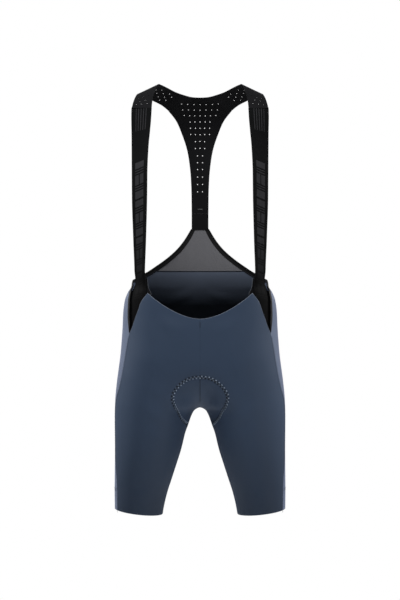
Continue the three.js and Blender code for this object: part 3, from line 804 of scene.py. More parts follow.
def side_panel():
    v, t = rows_and_columns(TORSO_ROWS, SIDE_COLUMNS)
    level = mix(seam_height(SIDE_TOP_Z, v), seam_height(CORNER_Z, v), t)
    level = level + (1 - v) ** 3 * armhole_rise(t)
    hip = points_on_rows(torso_row(lambda x: level, v), side_front_round, side_back_round, t)
    leg = leg_rows(side_front_round, side_back_round, SIDE_COLUMNS)
    return np.concatenate((hip, leg[1:]))


def back_half():
    """Torso rows, which the two halves share at the centre, and leg rows."""
    v, t = rows_and_columns(TORSO_ROWS, HALF_COLUMNS)
    inner = centre_height(BACK_SEAM_Z, BACK_RISE, BACK_DEPTH, v)
    outer = seam_height(CORNER_Z, v)
    edge = body_point(outer, side_back_round(outer))[..., 0]

    def height_at(x):
        share = np.clip(x / edge, 0, 1)
        top = np.minimum(BACK_SEAM_Z, armhole_z(share * CORNER_X))
        straight_top = mix(BACK_SEAM_Z, CORNER_Z, share)
        return mix(inner, outer, share) + (1 - v) ** 3 * (top - straight_top)

    torso = points_on_rows(torso_row(height_at, v), centre_back, side_back_round, t)
    leg = leg_rows(centre_back, side_back_round, HALF_COLUMNS)
    return eased(np.concatenate((torso, leg[1:])))


def leg_band():
    side = hem_rows(front_seam_round, side_back_round, SIDE_COLUMNS)
    back = hem_rows(side_back_round, centre_back, HALF_COLUMNS)
    return np.concatenate((side, back[:, 1:]), axis=1)


def back_strip(top, bottom, half_width, rows, columns):
    """A piece on the body's back between two levels, from the centre to a half width."""
    v, t = rows_and_columns(rows, columns)
    z = mix(top, bottom, v)
    place = np.where(t == 0, 4.0, round_at_x(z, t * half_width(z), True))
    return body_point(z, place)


def back_mesh():
    return back_strip(TAB_BOTTOM_Z - TAB_SEAM_CLEAR, BACK_SEAM_Z, armhole_x, 44, 36)


def back_tab():
    """It lies on the inner side, over the edges of the yoke and the mesh."""
    top, bottom = TAB_TOP_Z + LAP, TAB_BOTTOM_Z - LAP
    flat = back_strip(top, bottom, lambda z: np.full_like(z, TAB_HALF_WIDTH), 14, 8)
    return flat - (0, TAB_INSET, 0)


def bound_edge(s):
    """Height and place of the cut edge that the binding follows: mesh, armhole, side panel."""
    mesh_z = mix(TAB_BOTTOM_Z - BINDING_TOP_CLEAR, BACK_SEAM_Z, np.clip(s, 0, 1))
    arm_x = mix(armhole_x(BACK_SEAM_Z), side_x(SIDE_TOP_Z), np.clip(s - 1, 0, 1))
    arm_z = armhole_z(arm_x)
    side_z = mix(SIDE_TOP_Z, APEX_Z + BINDING_END_CLEAR, np.clip(s - 2, 0, 1))
    z = np.select([s < 1, s < 2], [mesh_z, arm_z], side_z)
    place = np.select(
        [s < 1, s < 2],
        [round_at_x(mesh_z, armhole_x(mesh_z), True), round_at_x(arm_z, arm_x, True)],
        side_front_round(side_z),
    )
    return z, place


def binding():
    """Across it, the folded elastic is crowned, with its two edges turned in."""
    v, t = rows_and_columns(150, 8)
    s = v * 3
    z, place = bound_edge(s)
    ahead = bound_edge(np.minimum(3, s + 0.01))
    behind = bound_edge(np.maximum(0, s - 0.01))
    along = body_point(*ahead) - body_point(*behind)
    normal = body_normal(z, place)
    outward = unit(np.cross(along, normal))
    level = np.clip(1 - s / BINDING_LEVEL_SHARE, 0, 1)[..., None]
    outward = unit(mix(outward, np.array((1.0, 0, 0)), level))
    taper = np.where(s < 2, 1, np.clip((z - APEX_Z) / BINDING_TAPER, BINDING_TIP, 1))
    # It is folded round the edge of mesh and back, and lies beside that of the side panel
    change = 0.3
    wrap = np.clip(2 - s, 0, change) / change
    inner = mix(BINDING_CLEAR, -BINDING_WRAP, wrap)
    width = mix(inner, (BINDING_WIDTH + wrap) * taper, t)
    crown = BINDING_CROWN * np.sin(math.pi * t)
    return body_point(z, place) + outward * width[..., None] + normal * crown[..., None]


def round_by(z, place, distance):
    """The place reached by going a distance round the body on the same level."""
    steps, near = 10, 0.01
    for _ in range(steps):
        gap = body_point(z, place + near) - body_point(z, place - near)
        place = place + distance / steps / (np.linalg.norm(gap, axis=-1) / (2 * near))
    return place


def layered(z, place, depth):
    return body_point(z, place) - body_normal(z, place) * depth


def strap():
    v, t = rows_and_columns(190, 14)
    z = mix(STRAP["z"][0], STRAP["z"][-1], v)
    centre_x = through(STRAP, "z", "x")(z)
    across = (t - 0.5) * STRAP_WIDTH
    turn = np.radians(through(STRAP, "z", "turn")(z))
    free = np.stack((
        centre_x + across * np.cos(turn),
        through(STRAP, "z", "y")(z) + across * np.sin(turn),
        z,
    ), axis=-1)
    share = np.clip((STRAP_ON_BODY[0] - z) / (STRAP_ON_BODY[0] - STRAP_ON_BODY[1]), 0, 1)
    share = (share * share * (3 - 2 * share))[..., None]
    place = round_by(z, round_at_x(z, centre_x, False), across)
    cloth = mix(free, layered(z, place, LAYER_STEP), share)
    # The top end goes on for a lap's length under the yoke
    outward = grid_normals(cloth)[:1]
    lap = cloth[:1] + unit(cloth[:1] - cloth[1:2]) * LAP - outward * STRAP_LAP_DEPTH
    under = cloth[:1] - outward * STRAP_END_DEPTH
    return np.concatenate((lap, under, cloth[1:]))


def gore():
    v, t = rows_and_columns(36, 16)
    z = mix(GORE["z"][0], GORE["z"][-1], v) - GORE_FALL * t * (1 - v) ** 3
    inner, outer = (
        round_at_x(z, through(GORE, "z", edge)(z), False) for edge in ("inner", "outer")
    )
    return layered(z, mix(inner, outer, t), 2 * LAYER_STEP)


def yoke_patch(rows, v, t):
    start = spline(rows, ("nx", "ny", "nz"), v)
    end = spline(rows, ("ax", "ay", "az"), v)
    chord = end - start
    reach = np.linalg.norm(chord, axis=-1, keepdims=True) / 3
    numbered = {"at": np.linspace(0, 1, len(rows["nx"])), "level": rows["level"]}
    level = through(numbered, "at", "level")(v)[..., None]
    leave = unit(mix(unit(chord), np.array((1.0, 0, 0)), level))
    first = start + leave * reach
    second = end - chord / 3
    s = 1 - t[..., None]
    t = t[..., None]
    return start * s**3 + 3 * first * s * s * t + 3 * second * s * t * t + end * t**3


def yoke_half():
    stem = yoke_patch(YOKE_STEM, *rows_and_columns(70, 24))
    arm = yoke_patch(YOKE_ARM, *rows_and_columns(96, 24))
    return np.concatenate((stem, arm[1:]))


# Meshes

def drawn_in(points, distance):
    """The grid with its four edges drawn in, so that two pieces sewn together keep a gap."""
    out = points.copy()
    for edge, beside in ((0, 1), (-1, -2)):
        out[edge] += unit(points[beside] - points[edge]) * distance
        out[:, edge] += unit(points[:, beside] - points[:, edge]) * distance
    return out


def run_lengths(points, axis):
    """Distance along each row or column, for a pattern that follows the cloth."""
    steps = np.linalg.norm(np.diff(points, axis=axis), axis=-1)
    zero = np.zeros_like(np.take(steps, [0], axis=axis))
    return np.cumsum(np.concatenate((zero, steps), axis=axis), axis=axis)


def mirrored(points, side=-1):
    return points * np.array((side, 1.0, 1))


def mesh_object(name, grids, slots):
    """One mesh from grids of points, each with a flag for turning its faces, and UVs in metres."""
    vertices, faces, uvs = [], [], []
    for points, turned in grids:
        rows, columns = points.shape[:2]
        first = len(vertices)
        across = run_lengths(points, 1).ravel() * MM
        down = run_lengths(points, 0).ravel() * MM
        vertices.extend(map(tuple, points.reshape(-1, 3) * MM))
        for row in range(rows - 1):
            for column in range(columns - 1):
                corner = row * columns + column
                face = [corner, corner + columns, corner + columns + 1, corner + 1]
                face = face[::-1] if turned else face
                faces.append([first + i for i in face])
                uvs.extend((across[i], down[i]) for i in face)
    mesh = bpy.data.meshes.new(name)
    mesh.from_pydata(vertices, [], faces)
    layer = mesh.uv_layers.new(name="cloth")
    layer.data.foreach_set("uv", np.array(uvs, float).ravel())
    for material in slots:
        mesh.materials.append(material)
    made = bpy.data.objects.new(name, mesh)
    bpy.context.collection.objects.link(made)
    weld = made.modifiers.new("weld", "WELD")
    weld.merge_threshold = 0.02 * MM
    return baked(made)


def baked(made):
    """The object with its modifiers turned into plain mesh."""
    shown = made.evaluated_get(bpy.context.evaluated_depsgraph_get())
    mesh = bpy.data.meshes.new_from_object(shown)
    made.modifiers.clear()
    old = made.data
    made.data = mesh
    mesh.name = made.name
    if old.users == 0:
        bpy.data.meshes.remove(old)
    return made


def smooth(made, sharp=48):
    made.data.polygons.foreach_set("use_smooth", [True] * len(made.data.polygons))
    made.data.set_sharp_from_angle(angle=math.radians(sharp))
    return made


def walled(made, thickness, inside=0):
    """Gives a sheet its thickness: the cut edge takes material 1, and the inner face the one given."""
    solid = made.modifiers.new("wall", "SOLIDIFY")
    solid.material_offset = inside
    solid.thickness = thickness * MM
    solid.offset = 0
    solid.use_even_offset = True
    solid.use_quality_normals = True
    solid.material_offset_rim = 1
    return smooth(baked(made))


def in_place(made, slot, *nodes):
    """The piece rides on the one body and stands for its solids; the slot is not used."""
    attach(made, ROOT)
    if nodes:
        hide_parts(*nodes)
    return made


def cloth_area(points):
    first = points[1:, 1:] - points[:-1, :-1]
    second = points[1:, :-1] - points[:-1, 1:]
    return float(np.linalg.norm(np.cross(first, second), axis=-1).sum() / 2)


def cut_cloth(made, halves, hangs_from, stretch=KNIT_STRETCH, cut_width=None):
    """Works out what size the piece was cut to, from its grids as worn and how far it is stretched,
    and keeps none of it.
    """
    wide, long = stretch
    width = sum(run_lengths(half, 1)[:, -1].max() for half in halves) / wide
    length = max(run_lengths(half, 0)[-1].max() for half in halves) / long
    area = sum(cloth_area(half) for half in halves) / (wide * long)
    if cut_width:
        # A folded strip: its grid runs along it, and its cut is wider than what shows
        width = cut_width
        area = width * length
    flat = (width * MM, length * MM)
    area = min(area * MM * MM, flat[0] * flat[1])
    return made


# Materials

def linear(hex_colour):
    """Linear colour from an sRGB hex value."""
    values = [int(hex_colour[i:i + 2], 16) / 255 for i in (0, 2, 4)]
    channels = [v / 12.92 if v <= 0.04045 else ((v + 0.055) / 1.055) ** 2.4 for v in values]
    return (*channels, 1.0)


def add_node(tree, kind, inputs=None, **settings):
    """Adds a node with its settings, and gives its inputs values or links."""
    made = tree.nodes.new(kind)
    for name, value in settings.items():
        setattr(made, name, value)
    for socket, value in (inputs or {}).items():
        if isinstance(value, bpy.types.NodeSocket):
            tree.links.new(value, made.inputs[socket])
        else:
            made.inputs[socket].default_value = value
    return made


def blend(tree, factor, first, second):
    """A colour between two."""
    return add_node(
        tree, "ShaderNodeMix", {"Factor": factor, "A": first, "B": second}, data_type="RGBA"
    ).outputs["Result"]


def ramp(tree, value, low, high, top=1.0):
    """0 up to the low value, and the top from the high one on."""
    return add_node(tree, "ShaderNodeMapRange", {
        "Value": value, "From Min": low, "From Max": high, "To Min": 0.0, "To Max": top,
    }).outputs["Result"]


def calculated(tree, operation, first, second=0.0):
    return add_node(tree, "ShaderNodeMath", {0: first, 1: second}, operation=operation).outputs[0]


def noise(tree, place, scale, detail):
    return add_node(
        tree, "ShaderNodeTexNoise", {"Vector": place, "Scale": scale, "Detail": detail}
    ).outputs["Fac"]


def cloth_place(tree):
    """Metres along the cloth, from its UV map."""
    return add_node(tree, "ShaderNodeUVMap", uv_map="cloth").outputs["UV"]


def object_place(tree):
    return add_node(tree, "ShaderNodeTexCoord").outputs["Object"]


def bumped(tree, shader, height, strength, distance):
    bump = add_node(
        tree, "ShaderNodeBump", {"Height": height, "Strength": strength, "Distance": distance}
    )
    tree.links.new(bump.outputs["Normal"], shader.inputs["Normal"])


def new_material(name, colour, roughness, sheen, sheen_tint="ffffff", specular=0.3):
    material = bpy.data.materials.new(name)
    material.use_nodes = True
    shader = material.node_tree.nodes["Principled BSDF"]
    for socket, value in (
        ("Base Color", linear(colour)), ("Roughness", roughness), ("Specular IOR Level", specular),
        ("Sheen Weight", sheen), ("Sheen Roughness", 0.35), ("Sheen Tint", linear(sheen_tint)),
    ):
        shader.inputs[socket].default_value = value
    return material, material.node_tree, shader


def knit_material(name, colour, other, roughness, sheen, tint, specular=0.3, shade_below=None):
    """Warp-knit polyamide and elastane, dyed and calendered: fine upright wales with a soft sheen.

    The colour drifts unevenly towards the other one.
    """
    material, tree, shader = new_material(name, colour, roughness, sheen, tint, specular)
    place = object_place(tree)
    wales = add_node(
        tree, "ShaderNodeTexWave",
        {"Vector": cloth_place(tree), "Scale": BANDS_REPEAT / WALE, "Distortion": 0.6,
         "Detail": 1.0, "Detail Scale": 4.0},
        wave_type="BANDS", bands_direction="X",
    )
    grain = noise(tree, place, 900.0, 2.0)
    uneven = add_node(
        tree, "ShaderNodeMix", {"Factor": 0.5, "A": grain, "B": noise(tree, place, 9.0, 3.0)},
        data_type="FLOAT",
    )
    tone = blend(tree, uneven.outputs["Result"], linear(colour), linear(other))
    if shade_below:
        darker, start, end = shade_below
        level = add_node(tree, "ShaderNodeSeparateXYZ", {"Vector": place}).outputs["Z"]
        tone = blend(tree, ramp(tree, level, start, end), tone, linear(darker))
    tree.links.new(tone, shader.inputs["Base Color"])
    bumped(tree, shader, calculated(tree, "ADD", wales.outputs["Fac"], grain), 0.12, 0.0004)
    return material


def mesh_material():
    """Raschel mesh of matt filament yarn: even rows of small round openings."""
    material, tree, shader = new_material("mesh_knit", MESH_GREY, 0.85, 0.2, "c8c8cc")
    cells = add_node(
        tree, "ShaderNodeTexVoronoi",
        {"Vector": cloth_place(tree), "Scale": 1 / MESH_PITCH, "Randomness": 0.15},
        feature="F1", voronoi_dimensions="2D",
    )
    opening = ramp(tree, cells.outputs["Distance"], 0.18, 0.4)
    tone = blend(tree, opening, linear("66666a"), linear("8e8e93"))
    tree.links.new(tone, shader.inputs["Base Color"])
    bumped(tree, shader, opening, 0.5, 0.0006)
    return material


def strap_material():
    """Jacquard-woven elastic: matt black ground and edges, dark grey blocks floated on the middle."""
    material, tree, shader = new_material("strap_elastic", STRAP_BLACK, 0.8, 0.0, "a0a0a4", 0.07)
    cloth = cloth_place(tree)
    split = add_node(tree, "ShaderNodeSeparateXYZ", {"Vector": cloth}).outputs
    across, down = split["X"], split["Y"]

    def every(*parts):
        """1 where each of the parts is 1."""
        whole = parts[0]
        for part in parts[1:]:
            whole = calculated(tree, "MULTIPLY", whole, part)
        return whole

    def over(value, size):
        return calculated(tree, "GREATER_THAN", value, size * MM)

    def under(value, size):
        return calculated(tree, "LESS_THAN", value, size * MM)

    offset = calculated(tree, "SUBTRACT", across, STRAP_WIDTH / 2 * MM)
    shifted = calculated(tree, "SUBTRACT", down, STRAP_DESIGN["offset"] * MM)
    repeat = calculated(tree, "MODULO", shifted, STRAP_DESIGN["repeat"] * MM)
    blocks = 0.0
    for first, last, low, high in STRAP_BLOCKS:
        block = every(over(repeat, first), under(repeat, last), over(offset, low), under(offset, high))
        blocks = calculated(tree, "MAXIMUM", blocks, block)
    bars = every(blocks, over(down, STRAP_DESIGN["start"]), under(down, STRAP_DESIGN["end"]))
    stripe = calculated(tree, "MODULO", across, STRAP_LINES["step"] * MM)
    lane = under(calculated(tree, "ABSOLUTE", offset), STRAP_LANE)
    lines = every(under(stripe, STRAP_LINES["width"]), lane, under(down, STRAP_LINES["end"]), 0.8)
    pattern = calculated(tree, "MAXIMUM", bars, lines)
    tone = blend(tree, pattern, linear(STRAP_BLACK), linear(STRAP_GREY))
    darker, start, end = STRAP_SHADE
    tone = blend(tree, ramp(tree, down, start, end, STRAP_SHADE_SHARE), tone, linear(darker))
    tree.links.new(tone, shader.inputs["Base Color"])
    ribs = add_node(
        tree, "ShaderNodeTexWave", {"Vector": cloth, "Scale": 260.0, "Distortion": 0.3},
        wave_type="BANDS", bands_direction="Y",
    )
    low_ribs = calculated(tree, "MULTIPLY", ribs.outputs["Fac"], 0.35)
    bumped(tree, shader, calculated(tree, "ADD", low_ribs, pattern), 0.45, 0.0005)
    return material


def trim_material(name, colour, roughness, sheen, scale):
    """Spun or braided yarn in one colour: binding, thread and pad cover, with a fine grain."""
    material, tree, shader = new_material(name, colour, roughness, sheen, "b0b4c0")
    bumped(tree, shader, noise(tree, object_place(tree), scale, 3.0), 0.3, 0.0004)
    return material


body_knit = knit_material(
    "body_knit", BODY_BLUE, "44556f", 0.6, 0.2, "8899b8", shade_below=LEG_SHADE
)
# Inner face of the back: its matt finish is the knit's own, while its paler blue is painted light on
# the inside of the back, and INSIDE_SHADE paints shade lower down
inside_knit = knit_material(
    "inside_knit", "667082", "6e788a", 0.75, 0.05, "8d97b8", 0.15, INSIDE_SHADE
)
side_knit = knit_material("side_knit", SIDE_BLUE, "7986a2", 0.5, 0.4, "c4c8e4")
cut_edge = trim_material("cut_edge", CUT_EDGE, 0.8, 0.2, 1200)
black_knit = knit_material("black_knit", BLACK_KNIT, "131316", 0.75, 0.02, "8a8a94", 0.18)
black_edge = trim_material("black_edge", "2a2a2e", 0.8, 0.1, 1200)
gore_edge = trim_material("gore_edge", "565b64", 0.8, 0.05, 1200)
mesh_knit = mesh_material()
strap_elastic = strap_material()
strap_edge = trim_material("strap_edge", "09090a", 0.7, 0.1, 900)
binding_elastic = trim_material("binding_elastic", BINDING_BLACK, 0.65, 0.15, 1400)
thread_dark = trim_material("thread_dark", THREAD_DARK, 0.6, 0.1, 3000)
thread_pale = trim_material("thread_pale", THREAD_PALE, 0.55, 0.2, 3000)
thread_black = trim_material("thread_black", "1b1b1e", 0.6, 0.1, 3000)
thread_grey = trim_material("thread_grey", "5c5c60", 0.6, 0.1, 3000)
tack_thread = trim_material("tack_thread", TACK_GREY, 0.5, 0.2, 3000)
pad_fabric = trim_material("pad_fabric", PAD_DARK, 0.9, 0.3, 700)

# Geometry Nodes trees for what repeats

def new_tree(name, labels):
    """A tree whose inputs are a geometry and what the labels name, mostly numbers."""
    kinds = {"Places": "NodeSocketObject", "Material": "NodeSocketMaterial"}
    tree = bpy.data.node_groups.new(name, "GeometryNodeTree")
    for way in ("INPUT", "OUTPUT"):
        tree.interface.new_socket("Geometry", in_out=way, socket_type="NodeSocketGeometry")
    for label in labels.split():
        kind = kinds.get(label, "NodeSocketFloat")
        tree.interface.new_socket(label, in_out="INPUT", socket_type=kind)
    given = tree.nodes.new("NodeGroupInput").outputs
    return tree, given, tree.nodes.new("NodeGroupOutput").inputs


def finished_tree(tree, given, out, geometry):
    real = add_node(tree, "GeometryNodeRealizeInstances", {"Geometry": geometry})
    painted = add_node(
        tree, "GeometryNodeSetMaterial",
        {"Geometry": real.outputs["Geometry"], "Material": given["Material"]},
    )
    tree.links.new(painted.outputs["Geometry"], out["Geometry"])
    return tree


def curve_of(tree, given):
    return add_node(tree, "GeometryNodeMeshToCurve", {"Mesh": given["Geometry"]}).outputs["Curve"]


def spaced_curve(tree, given):
    """The lines with points an even step apart."""
    return add_node(
        tree, "GeometryNodeResampleCurve",
        {"Curve": curve_of(tree, given), "Length": given["Step"]}, mode="LENGTH",
    ).outputs["Curve"]


def tube(tree, curve, radius):
    profile = add_node(
        tree, "GeometryNodeCurvePrimitiveCircle", {"Resolution": 6, "Radius": radius}
    )
    return add_node(tree, "GeometryNodeCurveToMesh", {
        "Curve": curve, "Profile Curve": profile.outputs["Curve"], "Fill Caps": True,
    }).outputs["Mesh"]


def ball(tree, radius):
    return add_node(
        tree, "GeometryNodeMeshUVSphere", {"Segments": 6, "Rings": 4, "Radius": radius}
    ).outputs["Mesh"]


def kept_up(tree):
    """The surface's direction as the line or point object keeps it."""
    return add_node(
        tree, "GeometryNodeInputNamedAttribute", {"Name": "up"}, data_type="FLOAT_VECTOR"
    ).outputs["Attribute"]


def facing(tree, direction):
    return add_node(
        tree, "FunctionNodeAlignRotationToVector", {"Vector": direction}, axis="Z"
    ).outputs["Rotation"]


def set_on(tree, points, thing, **settings):
    """Copies of a thing on points."""
    return add_node(
        tree, "GeometryNodeInstanceOnPoints", {"Points": points, "Instance": thing, **settings}
    ).outputs["Instances"]


def running_stitch_tree():
    """Small rounded stitches lying along a line."""
    tree, given, out = new_tree("running_stitch", "Step Length Radius Material")
    curve = spaced_curve(tree, given)
    tangent = add_node(tree, "GeometryNodeInputTangent").outputs[0]
    size = add_node(tree, "ShaderNodeCombineXYZ", {
        "X": given["Radius"], "Y": given["Radius"],
        "Z": calculated(tree, "MULTIPLY", given["Length"], 0.5),
    })
    stitches = set_on(
        tree, curve, ball(tree, 1.0), Rotation=facing(tree, tangent), Scale=size.outputs[0]
    )
    return finished_tree(tree, given, out, stitches)


def bead_tree():
    """A round bead along a line: a cut edge or a seam's ridge."""
    tree, given, out = new_tree("bead", "Radius Material")
    return finished_tree(tree, given, out, tube(tree, curve_of(tree, given), given["Radius"]))


def zigzag_tree():
    """A thread that swings from side to side of a line, knotted at its bends on one side."""
    tree, given, out = new_tree("zigzag", "Step Swing Radius Knot Material")
    curve = spaced_curve(tree, given)
    tangent = add_node(tree, "GeometryNodeInputTangent").outputs[0]
    sideways = add_node(
        tree, "ShaderNodeVectorMath", {0: kept_up(tree), 1: tangent}, operation="CROSS_PRODUCT"
    )
    index = add_node(tree, "GeometryNodeInputIndex").outputs[0]
    parity = calculated(tree, "MODULO", index, 2.0)
    swing = calculated(tree, "SUBTRACT", parity, 0.5)
    amount = calculated(tree, "MULTIPLY", swing, given["Swing"])
    offset = add_node(
        tree, "ShaderNodeVectorMath", {0: sideways.outputs[0], "Scale": amount}, operation="SCALE"
    )
    bends = add_node(
        tree, "GeometryNodeSetPosition", {"Geometry": curve, "Offset": offset.outputs[0]}
    ).outputs["Geometry"]
    whole = add_node(tree, "GeometryNodeJoinGeometry")
    for part in (
        tube(tree, bends, given["Radius"]),
        set_on(tree, bends, ball(tree, given["Knot"]), Selection=parity),
    ):
        tree.links.new(part, whole.inputs["Geometry"])
    return finished_tree(tree, given, out, whole.outputs["Geometry"])


def punched_tree():
    """Round holes cut through a sheet where another object's points are."""
    tree, given, out = new_tree("punched", "Places Radius Material")
    places = add_node(tree, "GeometryNodeObjectInfo", {"Object": given["Places"]})
    punch = add_node(tree, "GeometryNodeMeshCylinder", {
        "Vertices": 10, "Radius": given["Radius"], "Depth": PUNCH_LENGTH * MM,
    })
    placed = set_on(
        tree, places.outputs["Geometry"], punch.outputs["Mesh"],
        Rotation=facing(tree, kept_up(tree)),
    )
    real = add_node(tree, "GeometryNodeRealizeInstances", {"Geometry": placed})
    cut = add_node(
        tree, "GeometryNodeMeshBoolean",
        {"Mesh 1": given["Geometry"], "Mesh 2": real.outputs["Geometry"]},
        operation="DIFFERENCE", solver="EXACT",
    )
    return finished_tree(tree, given, out, cut.outputs["Mesh"])


def with_nodes(made, tree, **values):
    """Runs a Geometry Nodes tree on an object and turns the result into plain mesh."""
    modifier = made.modifiers.new("nodes", "NODES")
    modifier.node_group = tree
    for item in tree.interface.items_tree:
        if item.in_out == "INPUT" and item.name in values:
            modifier[item.identifier] = values[item.name]
    return baked(made)


def line_object(name, runs):
    """A mesh of open lines with the surface's direction kept at each point as "up"."""
    vertices, edges, ups = [], [], []
    for points, normals in runs:
        first = len(vertices)
        vertices.extend(map(tuple, points * MM))
        ups.extend(map(tuple, normals))
        edges.extend((first + i, first + i + 1) for i in range(len(points) - 1))
    mesh = bpy.data.meshes.new(name)
    mesh.from_pydata(vertices, edges, [])
    attribute = mesh.attributes.new("up", "FLOAT_VECTOR", "POINT")
    attribute.data.foreach_set("vector", np.array(ups, float).ravel())
    made = bpy.data.objects.new(name, mesh)
    bpy.context.collection.objects.link(made)
    return made


def both_sides(runs):
    """The runs on the wearer's left, and the same mirrored on the right."""
    return runs + [(mirrored(points), mirrored(normals)) for points, normals in runs]


RUNNING_STITCH = running_stitch_tree()
BEAD = bead_tree()
ZIGZAG = zigzag_tree()
PUNCHED = punched_tree()


def threaded(name, slot, runs, tree, material, **sizes):
    """Thread or edge along lines, by one of the trees and its sizes in millimetres."""
    made = line_object(name, runs)
    sizes = {label: size * MM for label, size in sizes.items()}
    with_nodes(made, tree, Material=material, **sizes)
    return in_place(smooth(made, 180), slot)


# Pieces

def raised(points, relief):
    """The grid moved along its own outward direction by a relief in millimetres."""
    return points + grid_normals(points) * relief(points)[..., None]


def make_pair(name, slot, node, left, turned_left, materials, thickness=CLOTH, **cut):
    """The piece on the wearer's left and its mirror image on the right."""
    for side, points, turned in (
        ("left", left, turned_left), ("right", mirrored(left), not turned_left)
    ):
        made = walled(mesh_object(f"{name}_{side}", [(points, turned)], materials), thickness)
        in_place(made, slot, f"{node}_{side}")
        hangs_from = [holder.format(side=side) for holder in HANGS_FROM[node]]
        cut_cloth(made, [points], hangs_from, **cut)


def make_centre(name, slot, node, half, materials):
    made = mesh_object(name, [(half, True), (mirrored(half), False)], materials)
    in_place(walled(made, CLOTH), slot, node)
    return cut_cloth(made, [half, half], HANGS_FROM[node])


def make_front():
    left = drawn_in(raised(front_half(), front_relief), SEAM_GAP / 2)
    make_pair("front_panel", "body_knit", "front", left, False, (body_knit, cut_edge))
    # Raw cut edges at the waist, down the free side and round the hem, and the centre seam
    normals = grid_normals(left)
    free = int(round(TORSO_ROWS * APEX_SHARE)) + 1
    edges = [(left[where], normals[where]) for where in (0, (slice(free), -1), -1)]
    threaded("front_cut_edges", "body_knit", both_sides(edges), BEAD, cut_edge, Radius=EDGE_BEAD)
    centre = left[:, 0] * (0, 1, 1)
    outward = normals[:, 0] * (0, 1, 1)
    for name, (top, bottom) in CENTRE_SEAM.items():
        part = (centre[:, 2] < top) & (centre[:, 2] > bottom)
        run = (centre[part] + outward[part] * CLOTH / 2, outward[part])
        threaded(f"centre_seam_{name}", "body_knit", [run], BEAD, thread_dark, Radius=CENTRE_BEAD)


def make_back():
    half = back_half()
    normals = grid_normals(half)
    half = half - normals * back_relief(half)[..., None]
    # Only the outer seam and the inseam are drawn in; the centre back is one cloth
    legs = TORSO_ROWS + 1
    half[:, -1] += unit(half[:, -2] - half[:, -1]) * SEAM_GAP / 2
    half[legs:, 0] += unit(half[legs:, 1] - half[legs:, 0]) * SEAM_GAP / 2
    half[:legs, 0, 0] = 0
    grids = [(half, True), (mirrored(half), False)]
    made = mesh_object("back_panel", grids, (body_knit, cut_edge, inside_knit))
    in_place(walled(made, CLOTH, inside=2), "body_knit", "back")
    cut_cloth(made, [half, half], HANGS_FROM["back"])
    # The top edge is overlocked to the mesh, which shows inside as a dark ridge
    inward = grid_normals(half)[0]
    ridge = both_sides([(half[0] + inward * CLOTH_INNER, -inward)])
    threaded("back_seam_ridge", "body_knit", ridge, BEAD, thread_dark, Radius=RIDGE_BEAD)


def make_bands():
    left = drawn_in(leg_band(), SEAM_GAP / 2)
    make_pair("leg_band_cloth", "side_knit", "leg_band", left, False, (side_knit, cut_edge))
    hem = (left[-1], grid_normals(left)[-1])
    threaded("band_cut_edges", "side_knit", both_sides([hem]), BEAD, cut_edge, Radius=EDGE_BEAD)


def hole_places():
    """Where the yoke is punched: rows across the back, then some along each arm."""
    fine = [yoke_patch(rows, *rows_and_columns(260, 60)) for rows in (YOKE_STEM, YOKE_ARM)]
    surface = np.concatenate([part.reshape(-1, 3) for part in fine])
    normals = -np.concatenate([grid_normals(part).reshape(-1, 3) for part in fine])
    behind = surface[:, 1] > 40
    surface, normals = surface[behind], normals[behind]
    places = []
    for z, count, pitch in zip(*PUNCHED_ROWS.values()):
        for i in range(int(count)):
            x = (i - (count - 1) / 2) * pitch
            nearest = int(np.hypot(surface[:, 0] - abs(x), surface[:, 2] - z).argmin())
            side = -1 if x < 0 else 1
            places.append((mirrored(surface[nearest], side), mirrored(normals[nearest], side)))
    arm = yoke_patch(YOKE_ARM, *rows_and_columns(400, 60))
    arm_normals = -grid_normals(arm)
    run = run_lengths(arm[:, 30:31], 0)[:, 0]
    stops = np.arange(ARM_HOLE_START, run[-1] - ARM_HOLE_END, ARM_HOLE_STEP)
    for turn, i in enumerate(np.searchsorted(run, stops)):
        for column in ARM_HOLE_COLUMNS[turn % 2]:
            for side in (1, -1):
                point, normal = arm[i, column], arm_normals[i, column]
                places.append((mirrored(point, side), mirrored(normal, side)))
    return places


def make_yoke():
    half = yoke_half()
    grids = [(half, True), (mirrored(half), False)]
    made = walled(mesh_object("yoke_cloth", grids, (black_knit, black_edge)), CLOTH)
    punches = line_object("hole_places", [(p[None], n[None]) for p, n in hole_places()])
    with_nodes(made, PUNCHED, Places=punches, Radius=HOLE_RADIUS * MM, Material=black_knit)
    bpy.data.objects.remove(punches)
    in_place(smooth(made, 40), "perforated_knit", "yoke")
    return cut_cloth(made, [half, half], HANGS_FROM["yoke"])


def pad_half(rows, on_back):
    v, t = rows_and_columns(40, 26)
    above = mix(CROTCH_Z, rows["z"][0], (1 - v) ** 2)
    v_leg, t_leg = rows_and_columns(16, 26)
    z = np.concatenate((above, mix(CROTCH_Z, rows["z"][-1], v_leg)[1:]))
    place = through(rows, "z", "reach")(z) * np.concatenate((t, t_leg[1:]))
    return body_point(z, 4 - place if on_back else place)


